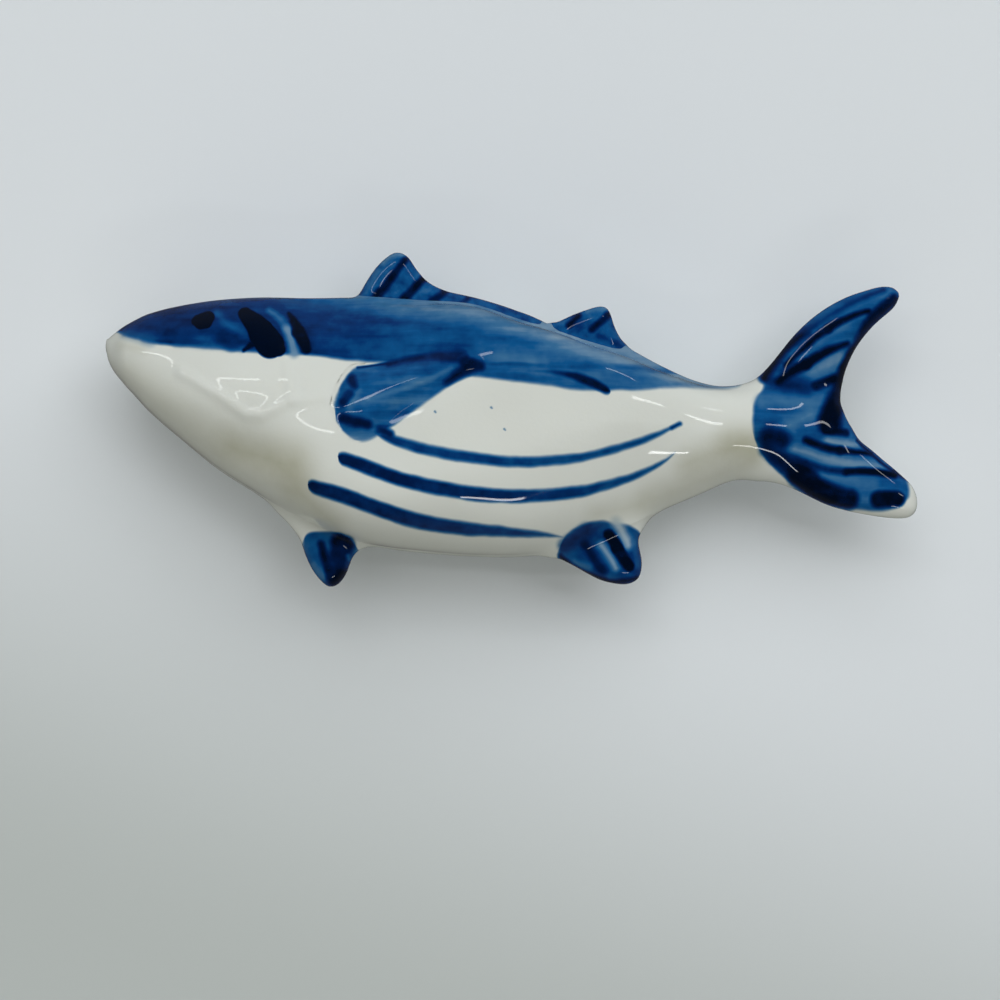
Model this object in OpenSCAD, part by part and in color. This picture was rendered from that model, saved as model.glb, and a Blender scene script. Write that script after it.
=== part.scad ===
// Porcelain chopstick rest in the shape of a bonito that lies on its right flank.
// The trunk is two hollow half-shells luted together along a level seam, and each fin is a thick
// soft blade luted to the trunk. +X runs from the head to the tail, +Y from the belly to the back
// and +Z up, with the origin at the middle of the flat foot.

/* [Trunk] */
// Length from the nose to the tip of the tail
fish_length = 76; // [60:1:100]
// Depth of the trunk from its back to its belly, where it is deepest
trunk_depth = 23.4; // [18:0.2:30]
// Height of the level seam between the two half-shells
seam_height = 7.6; // [6.5:0.1:9]
// Rise of the upper flank above the seam, where it is fullest
near_rise = 8.6; // [7:0.1:11]
// Fall of the lower flank below the seam, before the foot cuts it flat
far_fall = 8.9; // [8.6:0.1:12]
// Radius over which the nose rounds off
nose_radius = 2.2; // [1:0.1:4]
// Wall of the half-shells
wall = 2.6; // [1.8:0.1:3.2]
// Vent hole through the foot, which lets the air out in the kiln
vent_diameter = 2.4; // [1:0.1:4]
// Distance of the vent hole behind the middle of the foot
vent_setback = 7; // [0:0.5:9]

/* [Head] */
// Swell of the gill cover above the flank
cheek_swell = 0.5; // [0:0.05:1]
// Length and width over which the gill cover swells
cheek_reach = [5.2, 2.6]; // [2:0.1:7]
// Depth of the hollow at the throat, behind the gill cover
throat_hollow = 0.8; // [0:0.05:1.2]
// Length and width over which the throat is hollow
throat_reach = [3.4, 2.6]; // [2:0.1:7]

/* [Back fins] */
// Length of the first dorsal fin with its low ridge
dorsal_length = 18.6; // [14:0.1:22]
// Height of the first dorsal fin above the back
dorsal_height = 4.5; // [2:0.1:8]
// Thickness of the first dorsal fin
dorsal_thickness = 2.4; // [1.6:0.1:4]
// Gap along the back between the first dorsal fin's ridge and the second dorsal fin
dorsal_gap = 0.3; // [0.1:0.1:3]
// Length of the second dorsal fin
second_dorsal_length = 7.6; // [5:0.1:10]
// Height of the second dorsal fin above the back
second_dorsal_height = 3; // [1.5:0.1:6]
// Thickness of the second dorsal fin
second_dorsal_thickness = 2.2; // [1.4:0.1:4]

/* [Belly fins] */
// Length of the pelvic fin along the belly
pelvic_length = 5.3; // [4:0.1:8]
// Drop of the pelvic fin below the belly
pelvic_drop = 5.1; // [3:0.1:8]
// Thickness of the pelvic fin
pelvic_thickness = 2.6; // [1.6:0.1:4]
// Length of the anal fin along the belly
anal_length = 8.4; // [6:0.1:11]
// Drop of the anal fin below the belly
anal_drop = 5.4; // [3:0.1:8]
// Thickness of the anal fin
anal_thickness = 2.6; // [1.6:0.1:4]

/* [Pectoral fin] */
// Length of the pectoral fin
pectoral_length = 14.4; // [10:0.1:18]
// Width of the pectoral fin across the flank
pectoral_width = 8.2; // [5:0.1:11]
// Height of the pectoral fin's relief above the flank
pectoral_relief = 1; // [0.5:0.1:2]

/* [Tail] */
// Span of the tail from one lobe's tip to the other's
tail_span = 21.9; // [16:0.1:28]
// Half of the thickness of the tail's lobes
tail_half_thickness = 1.5; // [0.9:0.1:2.4]

/* [Hidden] */

// Depth that a fin's root is sunk into the trunk before the trunk cuts it away
root_sink = 1.2;
// Blunt half-thickness left along a thin edge
blunt_edge = 0.12;
// Reach of a cut past what it cuts
overrun = 1;

// Where the nose lies ahead of the foot's middle, and where the trunk ends and the tail starts
nose_share = 0.448;
trunk_share = 0.796;
// Height of the nose's tip above the spine line, in trunk depths
nose_tip_share = 0.341;
// Height of the tail's middle above the middle of the trunk's end, in trunk depths
tail_offset_share = 0.004;
// Where the inside of the shells starts and ends along the fish, and how far its ends close
hollow_start_share = 0.10;
hollow_end_share = 0.70;
hollow_end_closing_share = 0.3;
// Places of the gill cover and the throat: along the fish and above the spine line
cheek_place_shares = [0.160, 0.150];
throat_place_shares = [0.207, -0.130];

// The trunk's outline and fullness: place along the fish, back line and belly line in trunk
// depths from the spine line, rise of the upper flank and fall of the lower one
trunk_shares = [
    [0.000, 0.384,  0.215, 0.22, 0.20],
    [0.022, 0.412,  0.177, 0.38, 0.35],
    [0.053, 0.458,  0.076, 0.53, 0.49],
    [0.115, 0.506, -0.098, 0.73, 0.69],
    [0.177, 0.518, -0.233, 0.87, 0.85],
    [0.238, 0.522, -0.347, 0.96, 0.96],
    [0.310, 0.522, -0.446, 1.00, 1.00],
    [0.400, 0.510, -0.486, 1.00, 1.00],
    [0.455, 0.494, -0.500, 0.98, 0.99],
    [0.522, 0.442, -0.496, 0.92, 0.94],
    [0.584, 0.392, -0.458, 0.84, 0.85],
    [0.633, 0.341, -0.393, 0.75, 0.74],
    [0.683, 0.261, -0.321, 0.64, 0.61],
    [0.732, 0.185, -0.249, 0.52, 0.48],
    [0.775, 0.157, -0.191, 0.44, 0.39],
    [0.796, 0.165, -0.181, 0.42, 0.37]];
// How square the section's shoulder is on the back side and on the belly side
back_squareness = 2.6;
belly_squareness = 2.1;

// The back fins' outlines: place along the fin and height above the back, in the fin's own sizes
dorsal_start_share = 0.305;
dorsal_outline_shares = [
    [0.02, -0.2], [0.03, 0.10], [0.07, 0.42], [0.125, 0.74], [0.185, 0.96], [0.232, 1.00],
    [0.275, 0.90], [0.32, 0.66], [0.38, 0.42], [0.47, 0.25], [0.58, 0.17], [0.69, 0.13],
    [0.80, 0.11], [0.91, 0.06], [0.99, -0.15], [0.85, -0.45], [0.5, -0.6], [0.15, -0.5]];
// Where the ridge of the first dorsal fin sinks into the back, along the fin
dorsal_run_share = 0.97;
second_dorsal_outline_shares = [
    [0.00, -0.1], [0.10, 0.14], [0.25, 0.42], [0.45, 0.74], [0.61, 0.97], [0.70, 1.00],
    [0.75, 0.84], [0.79, 0.50], [0.87, 0.14], [1.00, -0.2], [0.80, -0.6], [0.30, -0.6]];
// The belly fins' outlines: place along the fin and drop below the belly
pelvic_start_share = 0.240;
pelvic_outline_shares = [
    [-0.52, -0.20], [-0.36, 0.02], [-0.20, 0.14], [-0.03, 0.36], [0.08, 0.68], [0.22, 0.89],
    [0.42, 1.01], [0.56, 0.98], [0.70, 0.83], [0.82, 0.60], [0.91, 0.32], [1.00, 0.08],
    [1.10, -0.15], [0.90, -0.5], [0.40, -0.70], [-0.25, -0.55]];
anal_start_share = 0.552;
anal_outline_shares = [
    [-0.15, -0.12], [0.05, 0.07], [0.18, 0.28], [0.36, 0.54], [0.56, 0.80], [0.77, 0.99],
    [0.89, 1.02], [0.95, 0.94], [0.965, 0.70], [0.93, 0.32], [0.97, 0.02], [0.85, -0.5],
    [0.50, -0.6], [0.05, -0.4]];
// The pectoral fin's outline, from its corner at the gill: along the fish, and up the flank
pectoral_place_share = 0.280;
pectoral_rise_share = 0.140;
pectoral_outline_shares = [
    [0.14, 0.32], [0.08, 0.23], [0.03, 0.06], [0.00, -0.16], [0.03, -0.31], [0.10, -0.46],
    [0.18, -0.52], [0.26, -0.50], [0.38, -0.33], [0.50, -0.17], [0.62, -0.06], [0.74, 0.07],
    [0.85, 0.21], [0.93, 0.25], [1.00, 0.33], [0.94, 0.42], [0.81, 0.48], [0.69, 0.49],
    [0.56, 0.43], [0.36, 0.37], [0.24, 0.34]];
// The tail's two edges, matched row by row from the upper tip to the lower one: the leading edge
// and the trailing edge, along the tail and across it, and the fullness between them
tail_rows_shares = [
    [0.870,  0.610, 0.895,  0.590, 0.10], [0.735,  0.613, 0.845,  0.520, 0.62],
    [0.570,  0.575, 0.727,  0.443, 0.82], [0.418,  0.510, 0.630,  0.357, 0.92],
    [0.260,  0.412, 0.570,  0.266, 1.00], [0.109,  0.279, 0.540,  0.180, 1.10],
    [0.000,  0.180, 0.534,  0.150, 1.25], [0.000,  0.110, 0.532,  0.130, 1.40],
    [0.000, -0.009, 0.532,  0.112, 1.45], [0.000, -0.120, 0.540,  0.090, 1.35],
    [0.000, -0.188, 0.560,  0.052, 1.20], [0.085, -0.200, 0.600,  0.010, 1.08],
    [0.182, -0.223, 0.655, -0.040, 1.00], [0.340, -0.275, 0.727, -0.082, 0.96],
    [0.491, -0.322, 0.806, -0.133, 0.92],
    [0.691, -0.361, 0.879, -0.180, 0.88], [0.867, -0.378, 0.970, -0.245, 0.70],
    [0.965, -0.365, 1.000, -0.315, 0.12]];

// How finely the trunk, the fins and the tail are divided
trunk_rings = 52;
half_ring_sides = 22;
// How much closer the trunk's rings lie towards the nose, and where the first one lies
ring_crowding = 1.35;
first_ring_share = 0.12;
blade_rings = 5;
blade_subdivisions = 3;
tail_subdivisions = 3;
tail_sides = 8;

trunk_length = trunk_share * fish_length;
nose_x = -nose_share * fish_length;
tail_x = nose_x + trunk_length;
tail_length = fish_length - trunk_length;
nose_tip_y = nose_tip_share * trunk_depth;
tail_middle_y = middle_y(tail_x) + tail_offset_share * trunk_depth;
dorsal_x = nose_x + dorsal_start_share * fish_length;
second_dorsal_x = dorsal_x + dorsal_run_share * dorsal_length + dorsal_gap;
pelvic_x = nose_x + pelvic_start_share * fish_length;
anal_x = nose_x + anal_start_share * fish_length;
foot_cut = far_fall + overrun;

function mix(a, b, t) = a + (b - a) * t;

// Slope of column c at row i of a table whose first column is the place along the fish
function slope(t, i, c) =
    let (a = max(i - 1, 0), b = min(i + 1, len(t) - 1))
    (t[b][c] - t[a][c]) / (t[b][0] - t[a][0]);

// Smooth value of column c at place x, with a cubic through the table's rows
function table_row(t, x, i = 0) = i >= len(t) - 2 || x <= t[i + 1][0] ? i : table_row(t, x, i + 1);
function table_value(t, x, c) =
    let (i = table_row(t, x), h = t[i + 1][0] - t[i][0], u = (x - t[i][0]) / h, v = 1 - u)
    v * v * (1 + 2 * u) * t[i][c] + u * u * (1 + 2 * v) * t[i + 1][c]
    + h * u * v * (v * slope(t, i, c) - u * slope(t, i + 1, c));

// Share of its full width that the trunk has near the nose
function nose_rounding(x) =
    let (d = min((x - nose_x) / nose_radius, 1)) sqrt(max(1 - (1 - d) * (1 - d), 0));

function place(x) = (x - nose_x) / fish_length;
function back_y(x) =
    mix(nose_tip_y, trunk_depth * table_value(trunk_shares, place(x), 1), nose_rounding(x));
function belly_y(x) =
    mix(nose_tip_y, trunk_depth * table_value(trunk_shares, place(x), 2), nose_rounding(x));
function middle_y(x) = (back_y(x) + belly_y(x)) / 2;
function half_depth(x) = (back_y(x) - belly_y(x)) / 2;
function rise(x) = near_rise * table_value(trunk_shares, place(x), 3) * nose_rounding(x);
function fall(x) = far_fall * table_value(trunk_shares, place(x), 4) * nose_rounding(x);

function squareness(v) = v > 0 ? back_squareness : belly_squareness;
// Height share of the section at depth share v, from -1 at the belly to 1 at the back
function section(v) = pow(max(1 - pow(abs(v), squareness(v)), 0), 1 / squareness(v));
// Share of a dome's height over a point in plan
function dome(x, y, shares, reach) =
    let (u = (x - nose_x - shares[0] * fish_length) / reach[0],
         v = (y - shares[1] * trunk_depth) / reach[1])
    exp(-u * u - v * v);
// Height that the head's modelling adds to the upper flank
function relief(x, y) = cheek_swell * dome(x, y, cheek_place_shares, cheek_reach)
    - throat_hollow * dome(x, y, throat_place_shares, throat_reach);
// Height of the upper flank's skin over a point in plan
function skin_z(x, y) =
    let (v = min(max((y - middle_y(x)) / half_depth(x), -1), 1))
    seam_height + section(v) * (rise(x) + relief(x, y));

// Point of a half ring at angle a, from 0 at the back edge to 180 at the belly edge
function ring_point(x, a, wide, high, swell) =
    let (p = a < 90 ? back_squareness : belly_squareness,
         y = middle_y(x) + wide * pow(abs(cos(a)), 2 / p) * (a < 90 ? 1 : -1))
    [x, y, seam_height + pow(sin(a), 2 / p) * (high + swell * relief(x, y))];

// Half ring of the trunk's skin above the seam (up 1) or below it (up -1)
function skin_ring(x, up) =
    [for (k = [0:half_ring_sides])
        ring_point(x, 180 * k / half_ring_sides, half_depth(x), up > 0 ? rise(x) : -fall(x),
                   max(up, 0))];

// Half ring of the shells' inside, which keeps the wall everywhere and closes at its ends
function lining_ring(x, up, from, to) =
    let (middle = abs(2 * (x - from) / (to - from) - 1),
         closing = mix(hollow_end_closing_share, 1, pow(max(1 - pow(middle, 5), 0), 1 / 3)),
         high = (up > 0 ? rise(x) : min(fall(x), seam_height)) - wall)
    [for (k = [0:half_ring_sides])
        ring_point(x, 180 * k / half_ring_sides, closing * (half_depth(x) - wall),
                   up * closing * high, 0)];

// Places of the trunk's rings, closer together where the nose rounds off
ring_places = [for (i = [0:trunk_rings])
    mix(nose_x, tail_x, pow(max(i, first_ring_share) / trunk_rings, ring_crowding))];

// Triangles of a band between two rows of points
function band(a, b, count) =
    [for (k = [0:count - 1]) each [[a + k, b + k, b + k + 1], [a + k, b + k + 1, a + k + 1]]];
function flipped(faces) = [for (f = faces) [f[2], f[1], f[0]]];
function fan(first, count) = [for (k = [1:count - 1]) [first, first + k, first + k + 1]];

// Whole skin of the trunk as one solid, for the fins to be cut to
module trunk_solid() {
    turn = 2 * half_ring_sides;
    rings = [for (x = ring_places)
        let (low = skin_ring(x, -1))
        [each skin_ring(x, 1), for (k = [half_ring_sides - 1:-1:1]) low[k]]];
    points = [for (r = rings) each r];
    sides = [for (i = [0:trunk_rings - 1], k = [0:turn - 1])
        let (a = i * turn, b = a + turn, n = (k + 1) % turn)
        each [[a + k, b + k, b + n], [a + k, b + n, a + n]]];
    nose_cap = fan(0, turn - 1);
    tail_cap = flipped(fan(trunk_rings * turn, turn - 1));
    polyhedron(points, [each sides, each nose_cap, each tail_cap]);
}

// Half-shell of the trunk above the seam (up 1) or below it (up -1), hollow inside
module half_shell(up) {
    m = half_ring_sides;
    hollow_from = nose_x + hollow_start_share * fish_length;
    hollow_to = nose_x + hollow_end_share * fish_length;
    first = [for (i = [0:trunk_rings]) if (ring_places[i] >= hollow_from) i][0];
    last = [for (i = [trunk_rings:-1:0]) if (ring_places[i] <= hollow_to) i][0];
    outer = [for (x = ring_places) each skin_ring(x, up)];
    inner = [for (i = [first:last]) each lining_ring(ring_places[i], up, hollow_from, hollow_to)];
    base = len(outer);
    function o(i, k) = i * (m + 1) + k;
    function n(i, k) = base + (i - first) * (m + 1) + k;
    skin = [for (i = [0:trunk_rings - 1]) each band(o(i, 0), o(i + 1, 0), m)];
    lining = [for (i = [first:last - 1]) each flipped(band(n(i, 0), n(i + 1, 0), m))];
    caps = [each fan(o(0, 0), m), each flipped(fan(o(trunk_rings, 0), m)),
            each flipped(fan(n(first, 0), m)), each fan(n(last, 0), m)];
    solid_seam = [for (i = [0:trunk_rings - 1]) if (i < first - 1 || i > last)
        each [[o(i, 0), o(i, m), o(i + 1, m)], [o(i, 0), o(i + 1, m), o(i + 1, 0)]]];
    front_seam = let (i = first - 1)
        [[o(i, 0), n(first, 0), o(first, 0)], [o(i, 0), n(first, m), n(first, 0)],
         [o(i, 0), o(i, m), n(first, m)], [o(i, m), o(first, m), n(first, m)]];
    rear_seam = let (i = last + 1)
        [[o(i, 0), o(last, 0), n(last, 0)], [o(i, 0), n(last, 0), n(last, m)],
         [o(i, 0), n(last, m), o(i, m)], [o(i, m), n(last, m), o(last, m)]];
    rims = [for (i = [first:last - 1]) each [
        [o(i, 0), n(i, 0), n(i + 1, 0)], [o(i, 0), n(i + 1, 0), o(i + 1, 0)],
        [o(i, m), o(i + 1, m), n(i + 1, m)], [o(i, m), n(i + 1, m), n(i, m)]]];
    faces = [each skin, each lining, each caps, each solid_seam, each front_seam,
             each rear_seam, each rims];
    polyhedron([each outer, each inner], up > 0 ? faces : flipped(faces));
}

// Smooth closed outline through the points of p, with extra points between each pair
function closed_curve(p, parts) =
    [for (i = [0:len(p) - 1], k = [0:parts - 1])
        let (c = len(p), a = p[(i + c - 1) % c], b = p[i], d = p[(i + 1) % c], e = p[(i + 2) % c],
             t = k / parts)
        0.5 * (2 * b + (d - a) * t + (2 * a - 5 * b + 4 * d - e) * t * t
               + (3 * b - a - 3 * d + e) * t * t * t)];

function mean(p) = [for (v = p) 1] * p / len(p);

// Closed blade with rounded edges. Its rings shrink from the outline to the centre, and each
// point p of the plane, at height share h, goes to low(p, h) below and high(p, h) above
module blade(rim, centre, low, high) {
    c = len(rim);
    plan = [for (k = [0:blade_rings - 1])
        let (a = 90 * k / blade_rings) [for (p = rim) [each mix(centre, p, cos(a)), sin(a)]]];
    top = [for (r = plan) for (p = r) high(p)];
    under = [for (r = plan) for (p = r) low(p)];
    points = [each top, each under, high([each centre, 1]), low([each centre, 1])];
    half = c * blade_rings;
    inner = c * (blade_rings - 1);
    faces = [
        for (r = [0:blade_rings - 2], k = [0:c - 1])
            let (a = r * c + k, b = r * c + (k + 1) % c)
            each [[a, a + c, b + c], [a, b + c, b],
                  [half + a, half + b + c, half + a + c], [half + a, half + b, half + b + c]],
        for (k = [0:c - 1])
            let (n = (k + 1) % c)
            each [[inner + k, 2 * half, inner + n],
                  [half + inner + k, half + inner + n, 2 * half + 1],
                  [k, n, half + n], [k, half + n, half + k]]];
    polyhedron(points, faces);
}

// Fin that stands on the trunk's edge at the seam. up is 1 on the back and -1 on the belly
module edge_fin(outline_shares, start_x, length, height, thickness, up) {
    rim = closed_curve(outline_shares, blade_subdivisions);
    edge = function(x) up > 0 ? back_y(x) : belly_y(x);
    at = function(p, side)
        let (x = start_x + p[0] * length,
             y = edge(x) + up * (p[1] * height - (p[1] < 0 ? root_sink : 0)))
        [x, y, seam_height + side * max(p[2] * thickness / 2, blunt_edge)];
    difference() {
        blade(up > 0 ? [for (k = [len(rim) - 1:-1:0]) rim[k]] : rim, mean(rim),
              function(p) at(p, -1), function(p) at(p, 1));
        trunk_solid();
    }
}

module left_flank() {
    color("ivory") half_shell(1);
}

module right_flank() {
    color("ivory") difference() {
        half_shell(-1);
        translate([nose_x, -trunk_depth, -foot_cut])
            cube([fish_length, 2 * trunk_depth, foot_cut]);
        translate([vent_setback, 0, -overrun])
            cylinder(d = vent_diameter, h = wall + 2 * overrun, $fn = 32);
    }
}

module first_dorsal_fin() {
    color("steelblue") edge_fin(dorsal_outline_shares, dorsal_x, dorsal_length,
                                dorsal_height, dorsal_thickness, 1);
}

module second_dorsal_fin() {
    color("steelblue") edge_fin(second_dorsal_outline_shares, second_dorsal_x,
                                second_dorsal_length, second_dorsal_height,
                                second_dorsal_thickness, 1);
}

module pelvic_fin() {
    color("royalblue") edge_fin(pelvic_outline_shares, pelvic_x, pelvic_length,
                                pelvic_drop, pelvic_thickness, -1);
}

module anal_fin() {
    color("royalblue") edge_fin(anal_outline_shares, anal_x, anal_length,
                                anal_drop, anal_thickness, -1);
}

// Low relief draped over the upper flank, cut to its skin
module pectoral_fin() {
    corner = [nose_x + pectoral_place_share * fish_length, pectoral_rise_share * trunk_depth];
    rim = closed_curve(pectoral_outline_shares, blade_subdivisions);
    at = function(p, lift)
        let (x = corner[0] + p[0] * pectoral_length, y = corner[1] + p[1] * pectoral_width)
        [x, y, skin_z(x, y) + lift];
    color("royalblue") difference() {
        blade([for (k = [len(rim) - 1:-1:0]) rim[k]], mean(rim),
              function(p) at(p, -pectoral_relief),
              function(p) at(p, max(p[2] * pectoral_relief, blunt_edge)));
        trunk_solid();
    }
}

// Row of the tail at place r along its table, with a smooth curve through the rows
function tail_row(r) =
    let (last = len(tail_rows_shares) - 1, i = min(floor(r), last - 1), t = r - i,
         a = tail_rows_shares[max(i - 1, 0)], b = tail_rows_shares[i],
         d = tail_rows_shares[i + 1], e = tail_rows_shares[min(i + 2, last)])
    0.5 * (2 * b + (d - a) * t + (2 * a - 5 * b + 4 * d - e) * t * t
           + (3 * b - a - 3 * d + e) * t * t * t);

// Half-thickness that the tail's leading edge needs at y, to meet the end of the trunk
function root_half(y, high) =
    max(blunt_edge, high * section((y - middle_y(tail_x)) / half_depth(tail_x)));

module tail_fin() {
    last = len(tail_rows_shares) - 1;
    count = last * tail_subdivisions;
    rows = [for (i = [0:count])
        let (s = tail_row(i / tail_subdivisions),
             lead = [tail_x + max(s[0], 0) * tail_length, tail_middle_y + s[1] * tail_span],
             trail = [tail_x + s[2] * tail_length, tail_middle_y + s[3] * tail_span],
             half = s[4] * tail_half_thickness,
             near = root_half(lead[1], rise(tail_x)),
             far = root_half(lead[1], fall(tail_x)),
             swell = function(v, edge) sqrt(edge * edge * (1 - v) * (1 - v)
                                            + half * half * 4 * v * (1 - v)))
        [for (k = [0:tail_sides]) let (v = k / tail_sides)
            [each mix(lead, trail, v), seam_height + swell(v, near)],
         for (k = [tail_sides - 1:-1:0]) let (v = k / tail_sides)
            [each mix(lead, trail, v), seam_height - swell(v, far)]]];
    n = 2 * tail_sides + 1;
    sides = [for (i = [0:count - 1], k = [0:n - 1])
        let (a = i * n, b = a + n, m = (k + 1) % n)
        each [[a + k, b + m, b + k], [a + k, a + m, b + m]]];
    color("royalblue")
        polyhedron([for (r = rows) each r],
                   [each sides, each flipped(fan(0, n - 1)), each fan(count * n, n - 1)]);
}

left_flank();
right_flank();
first_dorsal_fin();
second_dorsal_fin();
tail_fin();
pelvic_fin();
anal_fin();
pectoral_fin();
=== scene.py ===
"""A porcelain fish that rests chopsticks: its soft clay forms, glaze and cobalt painting.

The whole fish is one smooth skin, cut into the pieces that the potter lutes together. The
painting is laid on in plan, by the strokes of the brush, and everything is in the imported
model's own frame. Lengths are in millimetres until the meshes are made.
"""

from typing import NamedTuple

import bmesh
import bpy
import numpy as np
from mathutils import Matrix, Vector


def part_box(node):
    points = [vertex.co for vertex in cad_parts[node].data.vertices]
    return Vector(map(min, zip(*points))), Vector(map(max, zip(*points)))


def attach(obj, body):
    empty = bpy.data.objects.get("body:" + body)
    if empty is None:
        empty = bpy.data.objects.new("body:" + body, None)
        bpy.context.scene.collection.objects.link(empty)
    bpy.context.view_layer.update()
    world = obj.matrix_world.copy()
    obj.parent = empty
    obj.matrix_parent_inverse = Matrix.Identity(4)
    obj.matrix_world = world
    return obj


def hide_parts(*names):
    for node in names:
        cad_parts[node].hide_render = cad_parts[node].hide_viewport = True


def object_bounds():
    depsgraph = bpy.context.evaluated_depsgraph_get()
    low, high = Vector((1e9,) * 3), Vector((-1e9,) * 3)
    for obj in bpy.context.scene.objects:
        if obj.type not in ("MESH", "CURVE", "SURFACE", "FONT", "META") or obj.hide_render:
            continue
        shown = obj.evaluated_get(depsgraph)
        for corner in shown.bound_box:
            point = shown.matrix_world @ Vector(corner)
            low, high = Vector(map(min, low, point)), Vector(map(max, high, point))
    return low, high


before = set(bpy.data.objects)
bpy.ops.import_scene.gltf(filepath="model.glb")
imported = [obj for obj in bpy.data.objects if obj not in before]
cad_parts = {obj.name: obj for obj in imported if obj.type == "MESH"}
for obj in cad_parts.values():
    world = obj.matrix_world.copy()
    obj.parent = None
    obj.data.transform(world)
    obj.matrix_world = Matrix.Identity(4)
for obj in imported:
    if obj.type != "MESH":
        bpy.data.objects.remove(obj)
cad_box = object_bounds()

MM = 0.001
# Stands in for zero where a sum divides
tiny = 1e-9


def corners(box):
    return np.array(box[0]) / MM, np.array(box[1]) / MM


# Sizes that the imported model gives
fish_low, fish_high = corners(cad_box)
flank_low, flank_high = corners(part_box("left_flank"))
tail_low, tail_high = corners(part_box("tail_fin"))
fish_length = fish_high[0] - fish_low[0]
nose_x = fish_low[0]
tail_x = flank_high[0]
tail_length = fish_length - (tail_x - nose_x)
seam_height = flank_low[2]
near_rise = flank_high[2] - seam_height

# Trunk: place along the fish, back line and belly line in trunk depths from the spine line,
# rise of the upper flank and fall of the lower one
trunk_shares = np.array([
    [0.000, 0.384, 0.215, 0.22, 0.20], [0.022, 0.412, 0.177, 0.38, 0.35],
    [0.053, 0.458, 0.076, 0.53, 0.49], [0.115, 0.506, -0.098, 0.73, 0.69],
    [0.177, 0.518, -0.233, 0.87, 0.85], [0.238, 0.522, -0.347, 0.96, 0.96],
    [0.310, 0.522, -0.446, 1.00, 1.00], [0.400, 0.510, -0.486, 1.00, 1.00],
    [0.455, 0.494, -0.500, 0.98, 0.99], [0.522, 0.442, -0.496, 0.92, 0.94],
    [0.584, 0.392, -0.458, 0.84, 0.85], [0.633, 0.341, -0.393, 0.75, 0.74],
    [0.683, 0.261, -0.321, 0.63, 0.61], [0.732, 0.185, -0.249, 0.53, 0.48],
    [0.775, 0.157, -0.191, 0.445, 0.39], [0.796, 0.165, -0.181, 0.405, 0.37],
    [0.860, 0.165, -0.181, 0.290, 0.30], [0.920, 0.165, -0.181, 0.180, 0.20]])
PLACE, BACK, BELLY, RISE, FALL = range(5)
trunk_depth = (flank_high[1] - flank_low[1]) / (
    trunk_shares[:, BACK].max() - trunk_shares[:, BELLY].min())
far_fall = 8.9
# Rounding of the nose, and how far its tip lies from the spine line
nose_radius, nose_tip_share = 2.2, 0.341
nose_tip_y = nose_tip_share * trunk_depth
# How square the lower flank and the keel are, towards the back and towards the belly
back_squareness, belly_squareness = 2.6, 2.1
# Upper flank: where its ridge lies, in its half-widths from the middle towards the back, and
# how square it is on the ridge's back side and on its belly side
crown = np.array([
    [-36.0, -0.10, 2.2, 2.1], [-28.0, -0.20, 2.2, 2.1], [-23.0, -0.18, 2.3, 2.1],
    [-18.0, -0.32, 2.4, 2.1], [-13.0, -0.42, 2.6, 2.1], [-7.0, -0.42, 3.0, 2.1],
    [-1.0, -0.30, 3.8, 2.0], [4.0, -0.10, 4.8, 2.0], [9.0, 0.08, 5.0, 1.95],
    [14.0, 0.22, 4.6, 1.85], [19.0, 0.22, 3.0, 1.8], [24.0, 0.14, 2.4, 1.8],
    [34.0, 0.10, 2.2, 1.8]])
RIDGE, BACK_SIDE, BELLY_SIDE = 1, 2, 3
# Height of the keel along the back above the seam, and the fillet over it
keel_height, keel_fillet = 1.6, 0.9
# Length over which the trunk's end fades into the tail
tail_fade = 7.5
# Softened rim of the foot, and the vent hole in it
foot_softness = 0.9
vent_place, vent_radius, vent_depth, vent_softness = (7.0, 0.0), 1.2, 3.0, 0.35


def along(table, place, column):
    """Smooth value of a table's column, with a cubic through its rows."""
    x, y = table[:, PLACE], table[:, column]
    slope = np.gradient(y)
    slope[1:-1] = (y[2:] - y[:-2]) / (x[2:] - x[:-2])
    slope[0], slope[-1] = (y[1] - y[0]) / (x[1] - x[0]), (y[-1] - y[-2]) / (x[-1] - x[-2])
    place = np.clip(place, x[0], x[-1])
    i = np.clip(np.searchsorted(x, place, side="right") - 1, 0, len(x) - 2)
    h = x[i + 1] - x[i]
    u = (place - x[i]) / h
    v = 1 - u
    return (v * v * (1 + 2 * u) * y[i] + u * u * (1 + 2 * v) * y[i + 1]
            + h * u * v * (v * slope[i] - u * slope[i + 1]))


def smooth_step(t):
    t = np.clip(t, 0, 1)
    return t * t * (3 - 2 * t)


# The trunk's table again on a fine grid, faired so that the glaze reflects in even lines. The
# fairing sets in behind the nose, over a stretch, and ends inside the tail.
fair_reach = {BACK: 0.014, BELLY: 0.014, RISE: 0.034, FALL: 0.034}
fair_grid = np.linspace(-0.2, 1.0, 601)
fair_from, fair_stretch, fair_to = 0.05, 0.12, 0.86


def faired(column):
    plain = along(trunk_shares, fair_grid, column)
    kernel = np.exp(-((fair_grid - fair_grid.mean()) / fair_reach[column]) ** 2)
    smooth = np.convolve(plain, kernel / kernel.sum(), "same")
    share = smooth_step((fair_grid - fair_from) / fair_stretch) * (fair_grid < fair_to)
    return plain + (smooth - plain) * share


fair_trunk = {column: faired(column) for column in fair_reach}


def trunk_share(place, column):
    return np.interp(place, fair_grid, fair_trunk[column])


# How far in from the back line the upper flank's shoulder ends, where the back is keeled
shoulder_inset = np.array([[-8.0, 0.0], [-0.2, 0.25], [3.6, 0.5], [7.2, 0.65], [9.1, 0.9],
                           [11.0, 1.15], [12.9, 1.15], [16.0, 0.85], [21.6, 0.15], [24.0, 0.0]])
INSET = 1


def nose_rounding(x):
    short = 1 - np.minimum((x - nose_x) / nose_radius, 1)
    return np.sqrt(np.maximum(1 - short ** 2, 0))


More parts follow.
